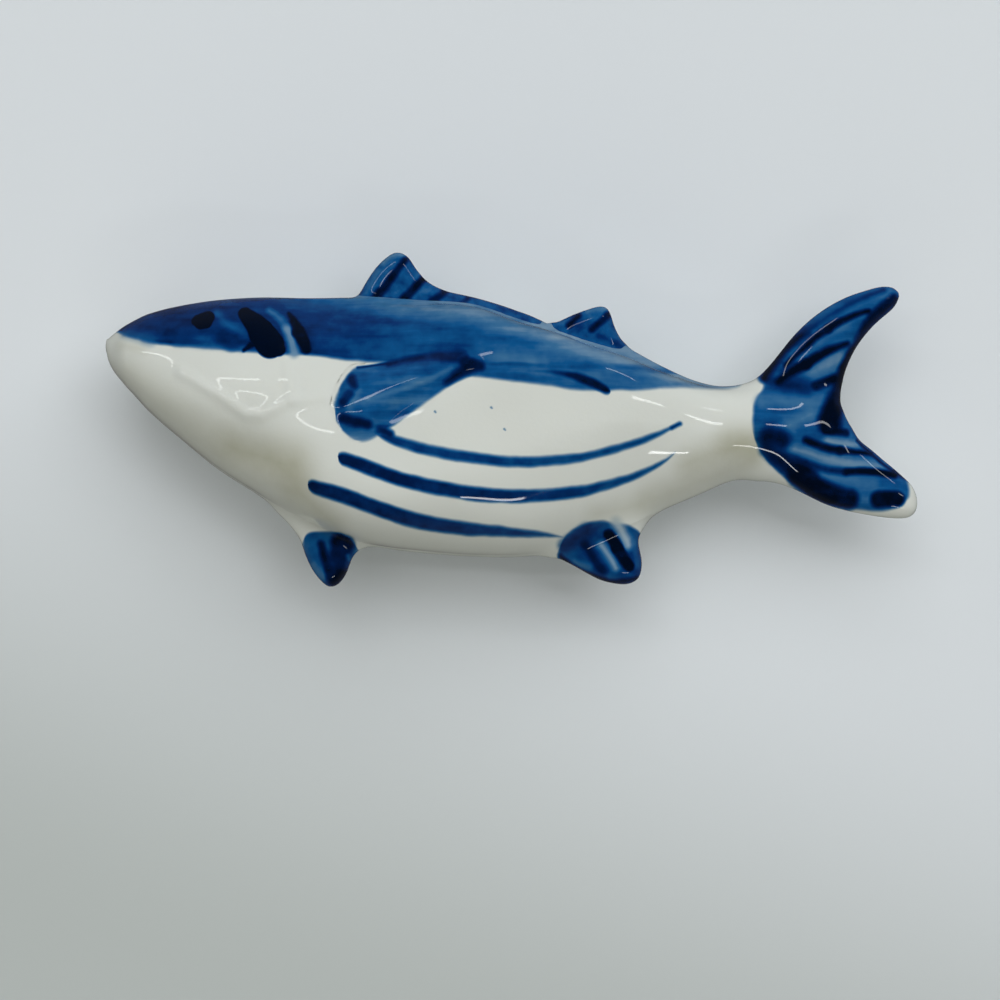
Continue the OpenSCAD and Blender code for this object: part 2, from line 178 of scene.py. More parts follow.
def edges_of_trunk(x):
    """Back line and belly line of the trunk at x."""
    place = (x - nose_x) / fish_length
    rounding = nose_rounding(x)
    back, belly = (trunk_share(place, c) * trunk_depth for c in (BACK, BELLY))
    return (nose_tip_y + (back - nose_tip_y) * rounding,
            nose_tip_y + (belly - nose_tip_y) * rounding)


def dome(x, y, place, reach):
    """Share of a soft dome's height over points in plan."""
    u = (x - nose_x - place[0] * fish_length) / reach[0]
    v = (y - place[1] * trunk_depth) / reach[1]
    return np.exp(-u * u - v * v)


def ridge(x, y, points, width):
    """Share of a soft ridge's height beside a line through points in plan."""
    best = np.full(np.broadcast(x, y).shape, np.inf)
    for a, b in zip(points[:-1], points[1:]):
        a, b = np.array(a), np.array(b)
        t = np.clip(((x - a[0]) * (b - a)[0] + (y - a[1]) * (b - a)[1])
                    / ((b - a) ** 2).sum(), 0, 1)
        best = np.minimum(best, np.hypot(x - a[0] - t * (b - a)[0], y - a[1] - t * (b - a)[1]))
    return np.exp(-(best / width) ** 2)


# Lower edge of the gill cover, from the jaw to its corner and back up to the pectoral fin, and
# its rear edge up the flank
cover_edge = [(-26.5, 5.2), (-22.9, 3.1), (-20.4, 1.3), (-19.0, 1.2), (-16.6, 2.4), (-13.4, 2.9)]
cover_rear = [(-16.2, 2.6), (-16.5, 4.4), (-16.9, 7.2)]
# Heights and widths of these two ridges
cover_ridges = [(0.20, cover_edge, 0.6), (0.14, cover_rear, 0.5)]
# The cheek and the hollow of the throat: height, place in fish lengths and trunk depths, reach
head_domes = [(0.35, (0.160, 0.150), (5.2, 2.6)), (-1.1, (0.180, -0.105), (3.6, 2.6))]


def head_relief(x, y):
    """Height that the gill cover and the throat add to the upper flank."""
    return (sum(height * dome(x, y, place, reach) for height, place, reach in head_domes)
            + sum(height * ridge(x, y, points, width) for height, points, width in cover_ridges))


def closed_curve(points, parts=6):
    """Smooth closed outline through points, with extra points between each pair."""
    p = np.array(points, float)
    a, d, e = np.roll(p, 1, 0), np.roll(p, -1, 0), np.roll(p, -2, 0)
    t = (np.arange(parts) / parts)[None, :, None]
    a, b, d, e = (v[:, None, :] for v in (a, p, d, e))
    curve = 0.5 * (2 * b + (d - a) * t + (2 * a - 5 * b + 4 * d - e) * t ** 2
                   + (3 * b - a - 3 * d + e) * t ** 3)
    return curve.reshape(-1, 2)


# Limits that keep the sum finite on the outline's own lines and far from the outline
least_off, least_nearness = 1e-3, 1e-12


def soft_depth(x, y, outline):
    """Depth of points inside a closed outline, smooth all over and negative outside it.

    It sums the outline's length over the fourth power of its distance, which near the edge
    leaves the plain distance.
    """
    nearness, turning = np.zeros_like(x), np.zeros_like(x)
    for a, b in zip(outline, np.roll(outline, -1, 0)):
        length = np.hypot(*(b - a))
        if length < tiny:
            continue
        t = (b - a) / length
        start = (a[0] - x) * t[0] + (a[1] - y) * t[1]
        off = np.maximum(np.abs((a[0] - x) * t[1] - (a[1] - y) * t[0]), least_off)
        for s, sign in ((start + length, 1), (start, -1)):
            nearness += sign * (s / (off ** 2 + s ** 2) / off ** 2 + np.arctan(s / off) / off ** 3)
        ax, ay, bx, by = a[0] - x, a[1] - y, b[0] - x, b[1] - y
        turning += np.arctan2(ax * by - ay * bx, ax * bx + ay * by)
    depth = (np.maximum(nearness, least_nearness) / np.pi) ** (-1 / 3)
    return np.where(np.abs(turning) > np.pi, depth, -depth)


# How deep a fin's root sinks into the trunk
root_sink = 1.2


def fin_outline(shares, start_share, length, height, up):
    """Outline in plan of a fin on the trunk's edge, from shares of its length and height."""
    p = closed_curve(shares)
    x = nose_x + start_share * fish_length + p[:, 0] * length
    edge = edges_of_trunk(x)[0 if up > 0 else 1]
    return np.stack([x, edge + up * (p[:, 1] * height - (p[:, 1] < 0) * root_sink)], 1)


dorsal_outline = fin_outline([
    [0.02, -0.2], [0.03, 0.10], [0.07, 0.42], [0.125, 0.74], [0.185, 0.96], [0.232, 1.00],
    [0.275, 0.90], [0.32, 0.66], [0.38, 0.42], [0.47, 0.25], [0.58, 0.17], [0.69, 0.13],
    [0.80, 0.11], [0.91, 0.06], [0.99, -0.15], [0.85, -0.45], [0.5, -0.6], [0.15, -0.5]],
    start_share=0.305, length=18.6, height=4.5, up=1)
second_dorsal_outline = fin_outline([
    [0.00, -0.1], [0.10, 0.14], [0.25, 0.42], [0.45, 0.74], [0.61, 0.97], [0.70, 1.00],
    [0.75, 0.84], [0.79, 0.50], [0.87, 0.14], [1.00, -0.2], [0.80, -0.6], [0.30, -0.6]],
    start_share=0.5463, length=7.6, height=3.0, up=1)
pelvic_outline = fin_outline([
    [-0.52, -0.20], [-0.36, 0.02], [-0.20, 0.14], [-0.03, 0.36], [0.08, 0.68], [0.22, 0.89],
    [0.42, 1.01], [0.56, 0.98], [0.70, 0.83], [0.82, 0.60], [0.91, 0.32], [1.00, 0.08],
    [1.10, -0.15], [0.90, -0.5], [0.40, -0.70], [-0.25, -0.55]],
    start_share=0.240, length=5.3, height=5.1, up=-1)
anal_outline = fin_outline([
    [-0.15, -0.12], [0.05, 0.07], [0.18, 0.28], [0.36, 0.54], [0.56, 0.80], [0.77, 0.99],
    [0.89, 1.02], [0.95, 0.94], [0.965, 0.70], [0.93, 0.32], [0.97, 0.02], [0.85, -0.5],
    [0.50, -0.6], [0.05, -0.4]],
    start_share=0.552, length=8.4, height=5.4, up=-1)

# Outline of the tail, from the upper lobe's tip round the root, in its lengths and spans
tail_edges_shares = [
    [0.888, 0.585], [0.862, 0.607], [0.818, 0.617], [0.735, 0.612], [0.570, 0.575], [0.418, 0.510],
    [0.260, 0.412], [0.109, 0.279], [0.000, 0.180], [-0.16, 0.10], [-0.16, -0.10],
    [0.000, -0.188], [0.085, -0.200], [0.182, -0.223], [0.340, -0.275], [0.491, -0.322],
    [0.691, -0.361], [0.867, -0.378], [0.965, -0.365], [1.000, -0.315], [0.970, -0.245],
    [0.879, -0.180], [0.806, -0.133], [0.727, -0.082], [0.655, -0.040], [0.600, 0.010],
    [0.560, 0.052], [0.532, 0.112], [0.534, 0.150], [0.540, 0.180], [0.570, 0.266],
    [0.630, 0.357], [0.727, 0.443], [0.845, 0.520], [0.880, 0.558]]
tail_top_share, tail_foot_share = 0.613, 0.378
tail_span = (tail_high[1] - tail_low[1]) / (tail_top_share + tail_foot_share)
tail_middle_y = tail_high[1] - tail_top_share * tail_span
tail_outline = closed_curve(tail_edges_shares) * (tail_length, tail_span) + (
    tail_x, tail_middle_y)

pectoral_size, pectoral_start_share, pectoral_middle_share = (14.4, 8.2), 0.280, 0.140
pectoral_outline = closed_curve([
    [0.14, 0.32], [0.08, 0.23], [0.03, 0.06], [0.00, -0.16], [0.03, -0.31], [0.10, -0.46],
    [0.18, -0.52], [0.26, -0.50], [0.38, -0.33], [0.50, -0.17], [0.62, -0.06], [0.74, 0.07],
    [0.85, 0.21], [0.93, 0.25], [1.00, 0.33], [0.94, 0.42], [0.81, 0.48], [0.69, 0.49],
    [0.56, 0.43], [0.36, 0.37], [0.24, 0.34]]) * pectoral_size + (
    nose_x + pectoral_start_share * fish_length, pectoral_middle_share * trunk_depth)
# Reach round a fin's box within which its depth is worked out in full
depth_reach = 4
# Slopes below which a gap isn't divided by its slope
least_fin_slope, least_trunk_slope, least_skin_slope = 0.05, 0.03, 0.05


class Blade:
    """A thick soft fin, level with the seam: its outline, half-thickness, the width over
    which its rim rounds off and the reach of the fillet at its root."""

    def __init__(self, name, outline, half_thickness, rim, fillet):
        self.name, self.outline = name, outline
        self.half_thickness, self.rim, self.fillet = half_thickness, rim, fillet

    def depth(self, x, y):
        """Depth inside the outline. Far from the fin it is only roughly right."""
        low, high = self.outline.min(0), self.outline.max(0)
        out_x = np.maximum(np.maximum(low[0] - x, x - high[0]), 0)
        out_y = np.maximum(np.maximum(low[1] - y, y - high[1]), 0)
        far = np.hypot(out_x, out_y)
        depth = -far - 1
        near = far < depth_reach
        depth[near] = soft_depth(x[near], y[near], self.outline)
        return depth

    def gap(self, depth, z, half_thickness=None):
        """Roughly the distance from the fin's skin to points at height z."""
        t = self.half_thickness if half_thickness is None else half_thickness
        thin = np.maximum(1 - depth / self.rim, 0)
        size = np.sqrt(((z - seam_height) / t) ** 2 + thin ** 2)
        slope = np.sqrt(((z - seam_height) / t ** 2) ** 2 + (thin / self.rim) ** 2)
        return (size - 1) * size / np.maximum(slope, least_fin_slope)


blades = [
    Blade("first_dorsal_fin", dorsal_outline, half_thickness=1.2, rim=1.5, fillet=1.3),
    Blade("second_dorsal_fin", second_dorsal_outline, half_thickness=1.1, rim=1.4, fillet=1.3),
    Blade("pelvic_fin", pelvic_outline, half_thickness=1.4, rim=1.9, fillet=3.2),
    Blade("anal_fin", anal_outline, half_thickness=1.5, rim=2.2, fillet=3.6),
    Blade("tail_fin", tail_outline, half_thickness=1.55, rim=2.4, fillet=3.0)]
TAIL = 4
# How much thicker the tail is at its root, and how far that reaches along and across the fish
tail_root_gain, tail_root_reach = 0.35, (6.0, 4.5)
# The pectoral fin lies on the flank, which it raises by this above the height where it sets in
pectoral = Blade("pectoral_fin", pectoral_outline, half_thickness=1.0, rim=2.3, fillet=0)
pectoral_relief, pectoral_onset = 0.85, 3
# The skin's slight waviness: its height, the two waves' slopes along and across the fish and
# their shifts, and the heights between which it sets in above the foot
wave_height, waves = 0.05, [(0.61, 0.37, 0.0), (-0.29, 0.83, 1.3)]
wave_from, wave_stretch = 1, 4


def joined(a, b, reach):
    """Union of two skins, with a soft fillet where they meet."""
    near = np.maximum(reach - np.abs(a - b), 0) / reach
    return np.minimum(a, b) - near ** 3 * reach / 6


def cut(a, b, reach):
    """The skin a where it is also inside b, with a softened edge."""
    return -joined(-a, -b, reach)


class Plan:
    """What the skin needs to know of points in plan, whatever their height."""

    def __init__(self, x, y):
        place = (x - nose_x) / fish_length
        back, belly = edges_of_trunk(x)
        deep, shallow = (trunk_share(place, c) * trunk_depth for c in (BACK, BELLY))
        self.half = (deep - shallow) / 2
        self.off_middle = y - (back + belly) / 2
        self.across = self.off_middle / self.half
        inset = along(shoulder_inset, x, INSET)
        self.shoulder_half = np.where(self.off_middle > 0, self.half - inset, self.half)
        self.shoulder_across = self.off_middle / self.shoulder_half
        relief = head_relief(x, y)
        self.rise = near_rise * trunk_share(place, RISE) + relief
        self.fall = far_fall * trunk_share(place, FALL)
        nose = np.maximum(1 - (x - nose_x) / nose_radius, 0)
        tail = np.maximum((x - tail_x) / tail_fade, 0)
        self.end = nose + tail
        self.end_reach = np.where(nose > 0, nose_radius, tail_fade)
        inner = np.maximum(1 - self.shoulder_across ** 2, 0)
        self.shoulder_across = self.shoulder_across - along(crown, x, RIDGE) * inner
        self.power = np.where(self.across > 0, back_squareness, belly_squareness)
        self.near_power = np.where(self.shoulder_across > 0, along(crown, x, BACK_SIDE),
                                   along(crown, x, BELLY_SIDE))
        self.vent = np.hypot(x - vent_place[0], y - vent_place[1])
        self.depths = [b.depth(x, y) for b in blades]
        self.pectoral = pectoral.depth(x, y)
        root = np.hypot((x - tail_x) / tail_root_reach[0], (y - tail_middle_y) / tail_root_reach[1])
        self.tail_half = blades[TAIL].half_thickness * (1 + tail_root_gain * np.exp(-root ** 2))
        self.wave = wave_height * sum(np.sin(u * x + v * y + shift) for u, v, shift in waves)


# Keeps the slope finite in the very middle of a section
least_round_size = 1e-6


def rounded_gap(plan, z, across, half, high, power):
    """Roughly the distance from a skin with these half-depths, heights and squareness."""
    up = np.abs(z - seam_height) / high
    across = np.abs(across)
    round_size = np.maximum((across ** power + up ** power) ** (1 / power), least_round_size)
    size = np.sqrt(round_size ** 2 + plan.end ** 2)
    share = round_size / size
    slope = np.sqrt((share * (across / round_size) ** (power - 1) / half) ** 2
                    + (share * (up / round_size) ** (power - 1) / high) ** 2
                    + (plan.end / size / plan.end_reach) ** 2)
    return (size - 1) / np.maximum(slope, least_trunk_slope)


def trunk_gap(plan, z):
    """Roughly the distance from the trunk's skin, before the fins are joined to it."""
    far = rounded_gap(plan, z, plan.across, plan.half, plan.fall, plan.power)
    near = rounded_gap(
        plan, z, plan.shoulder_across, plan.shoulder_half, plan.rise, plan.near_power)
    keel_rise = np.minimum(plan.rise, keel_height)
    keel = rounded_gap(plan, z, plan.across, plan.half, keel_rise, plan.power)
    near = joined(near, keel, keel_fillet)
    gap = np.where(z > seam_height, near, far)
    raised = smooth_step(plan.pectoral / pectoral.rim)
    return gap - pectoral_relief * raised * smooth_step((z - seam_height) / pectoral_onset)


def skin(plan, z):
    """Roughly the distance from the finished fish's skin, negative inside it."""
    gap = trunk_gap(plan, z)
    for i, blade in enumerate(blades):
        fin = blade.gap(plan.depths[i], z, plan.tail_half if i == TAIL else None)
        gap = joined(gap, fin, blade.fillet)
    gap = gap + plan.wave * smooth_step((z - wave_from) / wave_stretch)
    vent = np.maximum(plan.vent - vent_radius, z - vent_depth)
    return cut(cut(gap, -z, foot_softness), -vent, vent_softness)


# Size of the cells in which the skin is looked for, and the margin round the fish
cell = 0.3
margin = 1.5
# Points this near to a cut's line are taken to lie on it: fins', tail's and seam's cuts
fin_snap, tail_snap, seam_snap = 0.02, 1e-3, 1e-5


def skin_mesh():
    """Points and four-sided faces of the skin: one point in each cell that the skin crosses."""
    low, high = fish_low - margin, fish_high + margin
    counts = np.ceil((high - low) / cell).astype(int)
    x, y, z = (low[i] + cell * np.arange(counts[i]) for i in range(3))
    gx, gy = np.meshgrid(x, y, indexing="ij")
    plan = Plan(gx[:, :, None], gy[:, :, None])
    gap = skin(plan, z[None, None, :])
    inside = gap < 0
    total = np.zeros(tuple(counts - 1) + (3,))
    hits = np.zeros(tuple(counts - 1), int)
    crossings = []
    for axis in range(3):
        others = [i for i in range(3) if i != axis]
        a = [slice(None)] * 3
        b = [slice(None)] * 3
        a[axis], b[axis] = slice(None, -1), slice(1, None)
        at = np.argwhere(inside[tuple(a)] != inside[tuple(b)])
        last = at.copy()
        last[:, axis] += 1
        from_gap, to_gap = gap[tuple(at.T)], gap[tuple(last.T)]
        point = at.astype(float)
        point[:, axis] += from_gap / (from_gap - to_gap)
        ring = []
        for back in ((1, 1), (0, 1), (0, 0), (1, 0)):
            around = at.copy()
            around[:, others[0]] -= back[0]
            around[:, others[1]] -= back[1]
            np.add.at(total, tuple(around.T), point)
            np.add.at(hits, tuple(around.T), 1)
            ring.append(around)
        flip = inside[tuple(at.T)] != (axis == 1)
        crossings.append((np.stack(ring, 1), flip))
    used = hits > 0
    number = np.full(hits.shape, -1)
    number[used] = np.arange(used.sum())
    points = low + cell * total[used] / hits[used][:, None]
    faces = []
    for ring, flip in crossings:
        quads = number[ring[..., 0], ring[..., 1], ring[..., 2]]
        quads[~flip] = quads[~flip][:, ::-1]
        faces.append(quads)
    return points, np.concatenate(faces)


def gap_and_slope(points, step=0.02):
    """Gap from the skin at points, and its slope."""
    x, y, z = points.T
    plan = Plan(x, y)
    gap = skin(plan, z)
    slope = np.empty_like(points)
    slope[:, 0] = skin(Plan(x + step, y), z) - skin(Plan(x - step, y), z)
    slope[:, 1] = skin(Plan(x, y + step), z) - skin(Plan(x, y - step), z)
    slope[:, 2] = skin(plan, z + step) - skin(plan, z - step)
    return gap, slope / (2 * step)


def settled(points, passes=3):
    """Points moved onto the skin."""
    for _ in range(passes):
        gap, slope = gap_and_slope(points)
        steep = np.maximum((slope ** 2).sum(1), least_skin_slope)
        move = (gap / steep)[:, None] * slope
        size = np.linalg.norm(move, axis=1, keepdims=True)
        points = points - move * np.minimum(1, cell / np.maximum(size, tiny))
    return points


def outward(points):
    slope = gap_and_slope(points)[1]
    return slope / np.maximum(np.linalg.norm(slope, axis=1, keepdims=True), tiny)


def fin_lead(points):
    """For each point, how far each fin's own skin lies outside the trunk's, one column a fin."""
    plan = Plan(points[:, 0], points[:, 1])
    trunk = trunk_gap(plan, points[:, 2])
    lead = [trunk - b.gap(plan.depths[i], points[:, 2], plan.tail_half if i == TAIL else None)
            for i, b in enumerate(blades)]
    lead[TAIL] = points[:, 0] - tail_x
    lead.append(np.where(points[:, 2] > seam_height, plan.pectoral, -1))
    return np.stack(lead, 1)


def cut_along(bm, values):
    """Cuts the mesh's faces along the line where a value at its points changes sign.

    Each point on the line goes in once and in a fixed order, so that every run gives the same
    faces.
    """
    bm.verts.ensure_lookup_table()
    on_line = [v for v in bm.verts if values[v.index] == 0]
    for edge in list(bm.edges):
        a, b = edge.verts
        if a.index < 0 or b.index < 0:
            continue
        va, vb = values[a.index], values[b.index]
        if va * vb < 0:
            share = va / (va - vb)
            on_line.append(bmesh.utils.edge_split(edge, a, share)[1])
    bmesh.ops.connect_verts(bm, verts=list(dict.fromkeys(on_line)))
    bm.verts.index_update()


def new_bmesh(points, faces):
    bm = bmesh.new()
    verts = [bm.verts.new(p) for p in points]
    for f in faces:
        bm.faces.new([verts[i] for i in f])
    bm.verts.index_update()
    return bm


def places(bm):
    return np.array([v.co for v in bm.verts])


def close_holes(bm):
    """Closes each hole with a patch of its own, cut into triangles."""
    patches = bmesh.ops.holes_fill(bm, edges=[e for e in bm.edges if e.is_boundary], sides=0)
    for f in patches["faces"]:
        f.smooth = False
    bmesh.ops.triangulate(bm, faces=patches["faces"], ngon_method="BEAUTY")


def only(bm, keep):
    """Copy of the mesh with only the faces whose number keep accepts."""
    part = bm.copy()
    part.faces.ensure_lookup_table()
    gone = [f for f in part.faces if not keep[f.index]]
    bmesh.ops.delete(part, geom=gone, context="FACES")
    return part


def seam_half(bm, up):
    """The half of a closed trunk above (up 1) or below (up -1) the seam, closed at the seam."""
    half = bm.copy()
    bmesh.ops.bisect_plane(
        half, geom=half.verts[:] + half.edges[:] + half.faces[:], dist=seam_snap,
        plane_co=(0, 0, seam_height), plane_no=(0, 0, -up), clear_outer=True)
    close_holes(half)
    return half


def piece(name, bm, materials):
    """Object of one piece. Its skin takes the whole fish's normals, so that no joint shows."""
    bmesh.ops.recalc_face_normals(bm, faces=bm.faces[:])
    bm.normal_update()
    bm.verts.index_update()
    skin_normals = outward(places(bm))
    agree = [f.normal.dot(skin_normals[f.verts[0].index]) * f.calc_area()
             for f in bm.faces if f.smooth]
    if sum(agree) < 0:
        bmesh.ops.reverse_faces(bm, faces=bm.faces[:])
        bm.normal_update()
    normals = []
    for f in bm.faces:
        for v in f.verts:
            normals.append(skin_normals[v.index] if f.smooth else f.normal)
    bmesh.ops.scale(bm, vec=(MM, MM, MM), verts=bm.verts[:])
    mesh = bpy.data.meshes.new(name)
    bm.to_mesh(mesh)
    bm.free()
    mesh.normals_split_custom_set([tuple(n) for n in normals])
    obj = bpy.data.objects.new(name, mesh)
    bpy.context.scene.collection.objects.link(obj)
    for material in materials:
        mesh.materials.append(material)
    return obj


def whole_skin():
    """The finished skin, cut along the outline of each piece."""
    points, faces = skin_mesh()
    bm = new_bmesh(settled(points), faces)
    for f in bm.faces:
        f.smooth = True
    for i in range(len(blades) + 1):
        if i != TAIL:
            lead = fin_lead(places(bm))[:, i]
            lead[np.abs(lead) < fin_snap] = 0
            cut_along(bm, lead)
    bmesh.ops.bisect_plane(
        bm, geom=bm.verts[:] + bm.edges[:] + bm.faces[:], dist=tail_snap,
        plane_co=(tail_x, 0, 0), plane_no=(1, 0, 0))
    bm.verts.index_update()
    bm.faces.index_update()
    return bm


def cut_pieces():
    """Closed meshes of all the pieces by name."""
    bm = whole_skin()
    middles = np.array([f.calc_center_median() for f in bm.faces])
    lead = fin_lead(middles)
    owner = np.where(lead.max(1) > 0, lead.argmax(1), -1)
    owner[middles[:, 0] > tail_x] = TAIL
    cut = {}
    for i, blade in enumerate(blades + [pectoral]):
        cut[blade.name] = only(bm, owner == i)
        close_holes(cut[blade.name])
    trunk = only(bm, owner == -1)
    close_holes(trunk)
    cut["left_flank"] = seam_half(trunk, 1)
    cut["right_flank"] = seam_half(trunk, -1)
    trunk.free()
    bm.free()
    return cut


# Camera: straight above the middle of the photograph, at the photograph's scale
px_per_mm = 10.658
photo_px = 1000
origin_px = (470, 430)
middle_px = (500, 500)
camera_distance = 300.0
sensor_width = 36
camera_x = (middle_px[0] - origin_px[0]) / px_per_mm
camera_y = (origin_px[1] - middle_px[1]) / px_per_mm
frame_width = photo_px / px_per_mm


def skin_top(x, y):
    """Height of the skin over points in plan, without the fillets."""
    plan = Plan(x, y)
    across = np.minimum(np.abs(plan.across), 1)
    rounding = nose_rounding(x)
    top = seam_height + plan.rise * rounding * (1 - across ** plan.power) ** (1 / plan.power)
    for blade, depth in zip(blades, plan.depths):
        thin = np.clip(1 - depth / blade.rim, 0, 1)
        top = np.maximum(top, seam_height + blade.half_thickness * np.sqrt(1 - thin ** 2))
    return top


# The skin's height on a coarse grid in plan, from which the painter's places are read
map_cell = 0.5
map_low = fish_low[:2] - margin
map_counts = np.ceil((fish_high[:2] - map_low + margin) / map_cell).astype(int)
map_x, map_y = np.meshgrid(*(map_low[i] + map_cell * np.arange(map_counts[i]) for i in (0, 1)),
                           indexing="ij")
height_map = skin_top(map_x, map_y)
# Just short of the map's last place, so that each place that is read has a next one
map_end = map_counts - 1.001


def mapped_height(plan):
    """Height of the skin over points in plan, read from the map."""
    at = np.clip((plan - map_low) / map_cell, 0, map_end)
    i, j = at.astype(int).T
    u, v = (at - at.astype(int)).T
    near, far = (height_map[i + k, j] * (1 - v) + height_map[i + k, j + 1] * v for k in (0, 1))
    return near * (1 - u) + far * u


def laid(pixels, passes=8):
    """Places in plan of points that the photograph shows at these pixels, on the skin."""
    p = np.array(pixels, float).reshape(-1, 2)
    aside = (p - middle_px) * (1, -1) / px_per_mm
    plan = aside + (camera_x, camera_y)
    for _ in range(passes):
        nearer = 1 - (mapped_height(plan) - seam_height) / camera_distance
        plan = aside * nearer[:, None] + (camera_x, camera_y)
    return plan


class Value:
    """A number that changes over a surface. Operators on it add Math nodes."""

    def __init__(self, bench, socket):
        self.bench, self.socket = bench, socket

    def math(self, operation, *values):
        return self.bench.add("ShaderNodeMath", {"operation": operation}, dict(enumerate(values)))

    def __add__(self, other):
        return self.math("ADD", self, other)

    def __sub__(self, other):
        return self.math("SUBTRACT", self, other)

    def __rsub__(self, other):
        return self.math("SUBTRACT", other, self)

    def __mul__(self, other):
        return self.math("MULTIPLY", self, other)

    def __truediv__(self, other):
        return self.math("DIVIDE", self, other)

    __radd__, __rmul__ = __add__, __mul__

    def size(self):
        return self.math("ABSOLUTE", self)

    def least(self, other):
        return self.math("MINIMUM", self, other)

    def most(self, other):
        return self.math("MAXIMUM", self, other)

    def root(self):
        return self.math("SQRT", self)

    def step(self, low, high):
        """0 below low and 1 above high, or the other way round where high is below low."""
        sockets = {"Value": self, "From Min": min(low, high), "From Max": max(low, high),
                   "To Min": float(low > high), "To Max": float(low <= high)}
        return self.bench.add("ShaderNodeMapRange", {"interpolation_type": "SMOOTHSTEP"}, sockets)

    def towards(self, target, share):
        return self + (target - self) * share


# Least span of a curve's points, where a level curve would have none
least_span = 1e-6


class Bench:
    """The nodes of one material or of one painting."""

    def __init__(self, tree):
        self.tree = tree
        tree.nodes.clear()

    def add(self, kind, settings, sockets, output=0):
        """A node of a kind, with its settings and then its sockets' values or links."""
        node = self.tree.nodes.new(kind)
        for key, value in settings.items():
            if key == "stops":
                self.set_stops(node.color_ramp, value)
            elif key == "curve":
                self.set_curve(node.mapping, value)
            else:
                setattr(node, key, value)
        for key, value in sockets.items():
            if isinstance(value, Value):
                self.tree.links.new(value.socket, node.inputs[key])
            else:
                node.inputs[key].default_value = value
        return Value(self, node.outputs[output]) if node.outputs else None

    @staticmethod
    def set_stops(ramp, stops):
        for place, colour in stops[2:]:
            ramp.elements.new(place)
        for element, (place, colour) in zip(ramp.elements, sorted(stops)):
            element.position = place
            element.color = (*colour, 1)

    @staticmethod
    def set_curve(mapping, points):
        mapping.extend = "HORIZONTAL"
        curve = mapping.curves[0]
        for place in points[1:-1]:
            curve.points.new(*place)
        for point, place in zip(curve.points, points):
            point.location = place
        mapping.update()

    def noise(self, vector, scale, detail=2.0, roughness=0.5):
        return self.add("ShaderNodeTexNoise", {}, {
            "Vector": vector, "Scale": scale, "Detail": detail, "Roughness": roughness})

    def point(self, x, y, z=0.0):
        return self.add("ShaderNodeCombineXYZ", {}, {0: x, 1: y, 2: z})

    def curve(self, value, points):
        """Smooth curve through points, held level past its ends."""
        p = np.array(points, float)
        low, high = p.min(0), p.max(0)
        span = np.maximum(high - low, least_span)
        shares = [tuple(float(c) for c in v) for v in (p - low) / span]
        at = (value - float(low[0])) / float(span[0])
        out = self.add("ShaderNodeFloatCurve", {"curve": shares}, {"Value": at})
        return out * float(span[1]) + float(low[1])


def linear(*rgb):
    """Colour for the shader from the 0 to 255 values that a screen shows."""
    c = np.array(rgb) / 255
    return tuple(float(v) for v in np.where(c <= 0.04045, c / 12.92, ((c + 0.055) / 1.055) ** 2.4))


# Glaze over bare white clay, and over more and more cobalt
cobalt_stops = [
    (0.00, linear(218, 221, 214)), (0.10, linear(180, 193, 196)), (0.22, linear(118, 148, 172)),
    (0.36, linear(58, 110, 152)), (0.50, linear(14, 84, 140)), (0.66, linear(3, 50, 108)),
    (0.82, linear(0, 27, 72)), (1.00, linear(0, 10, 30))]
# Softness of a stroke's edge, and how far and how finely the hand's tremble shifts it
brush_soft, tremble, tremble_scale, tremble_aside = 0.28, 0.24, 0.45, (31, 7, 3)
# Fineness of the brush's streaks along, across and up the fish, of the clouds and of the mottle
streak_scales, streak_detail = (0.12, 1.1, 0.3), 4.0
cloud_scale, mottle_scale, cloud_detail = 0.22, 0.9, 3.0
# Share of the density that cobalt always keeps, and what its clouds and its mottle add to it
thin_share, cloud_share, mottle_share = 0.68, 0.30, 0.34
# Depths below the seam between which strokes on the near side fade out
near_depths = (0.9, 0.2)


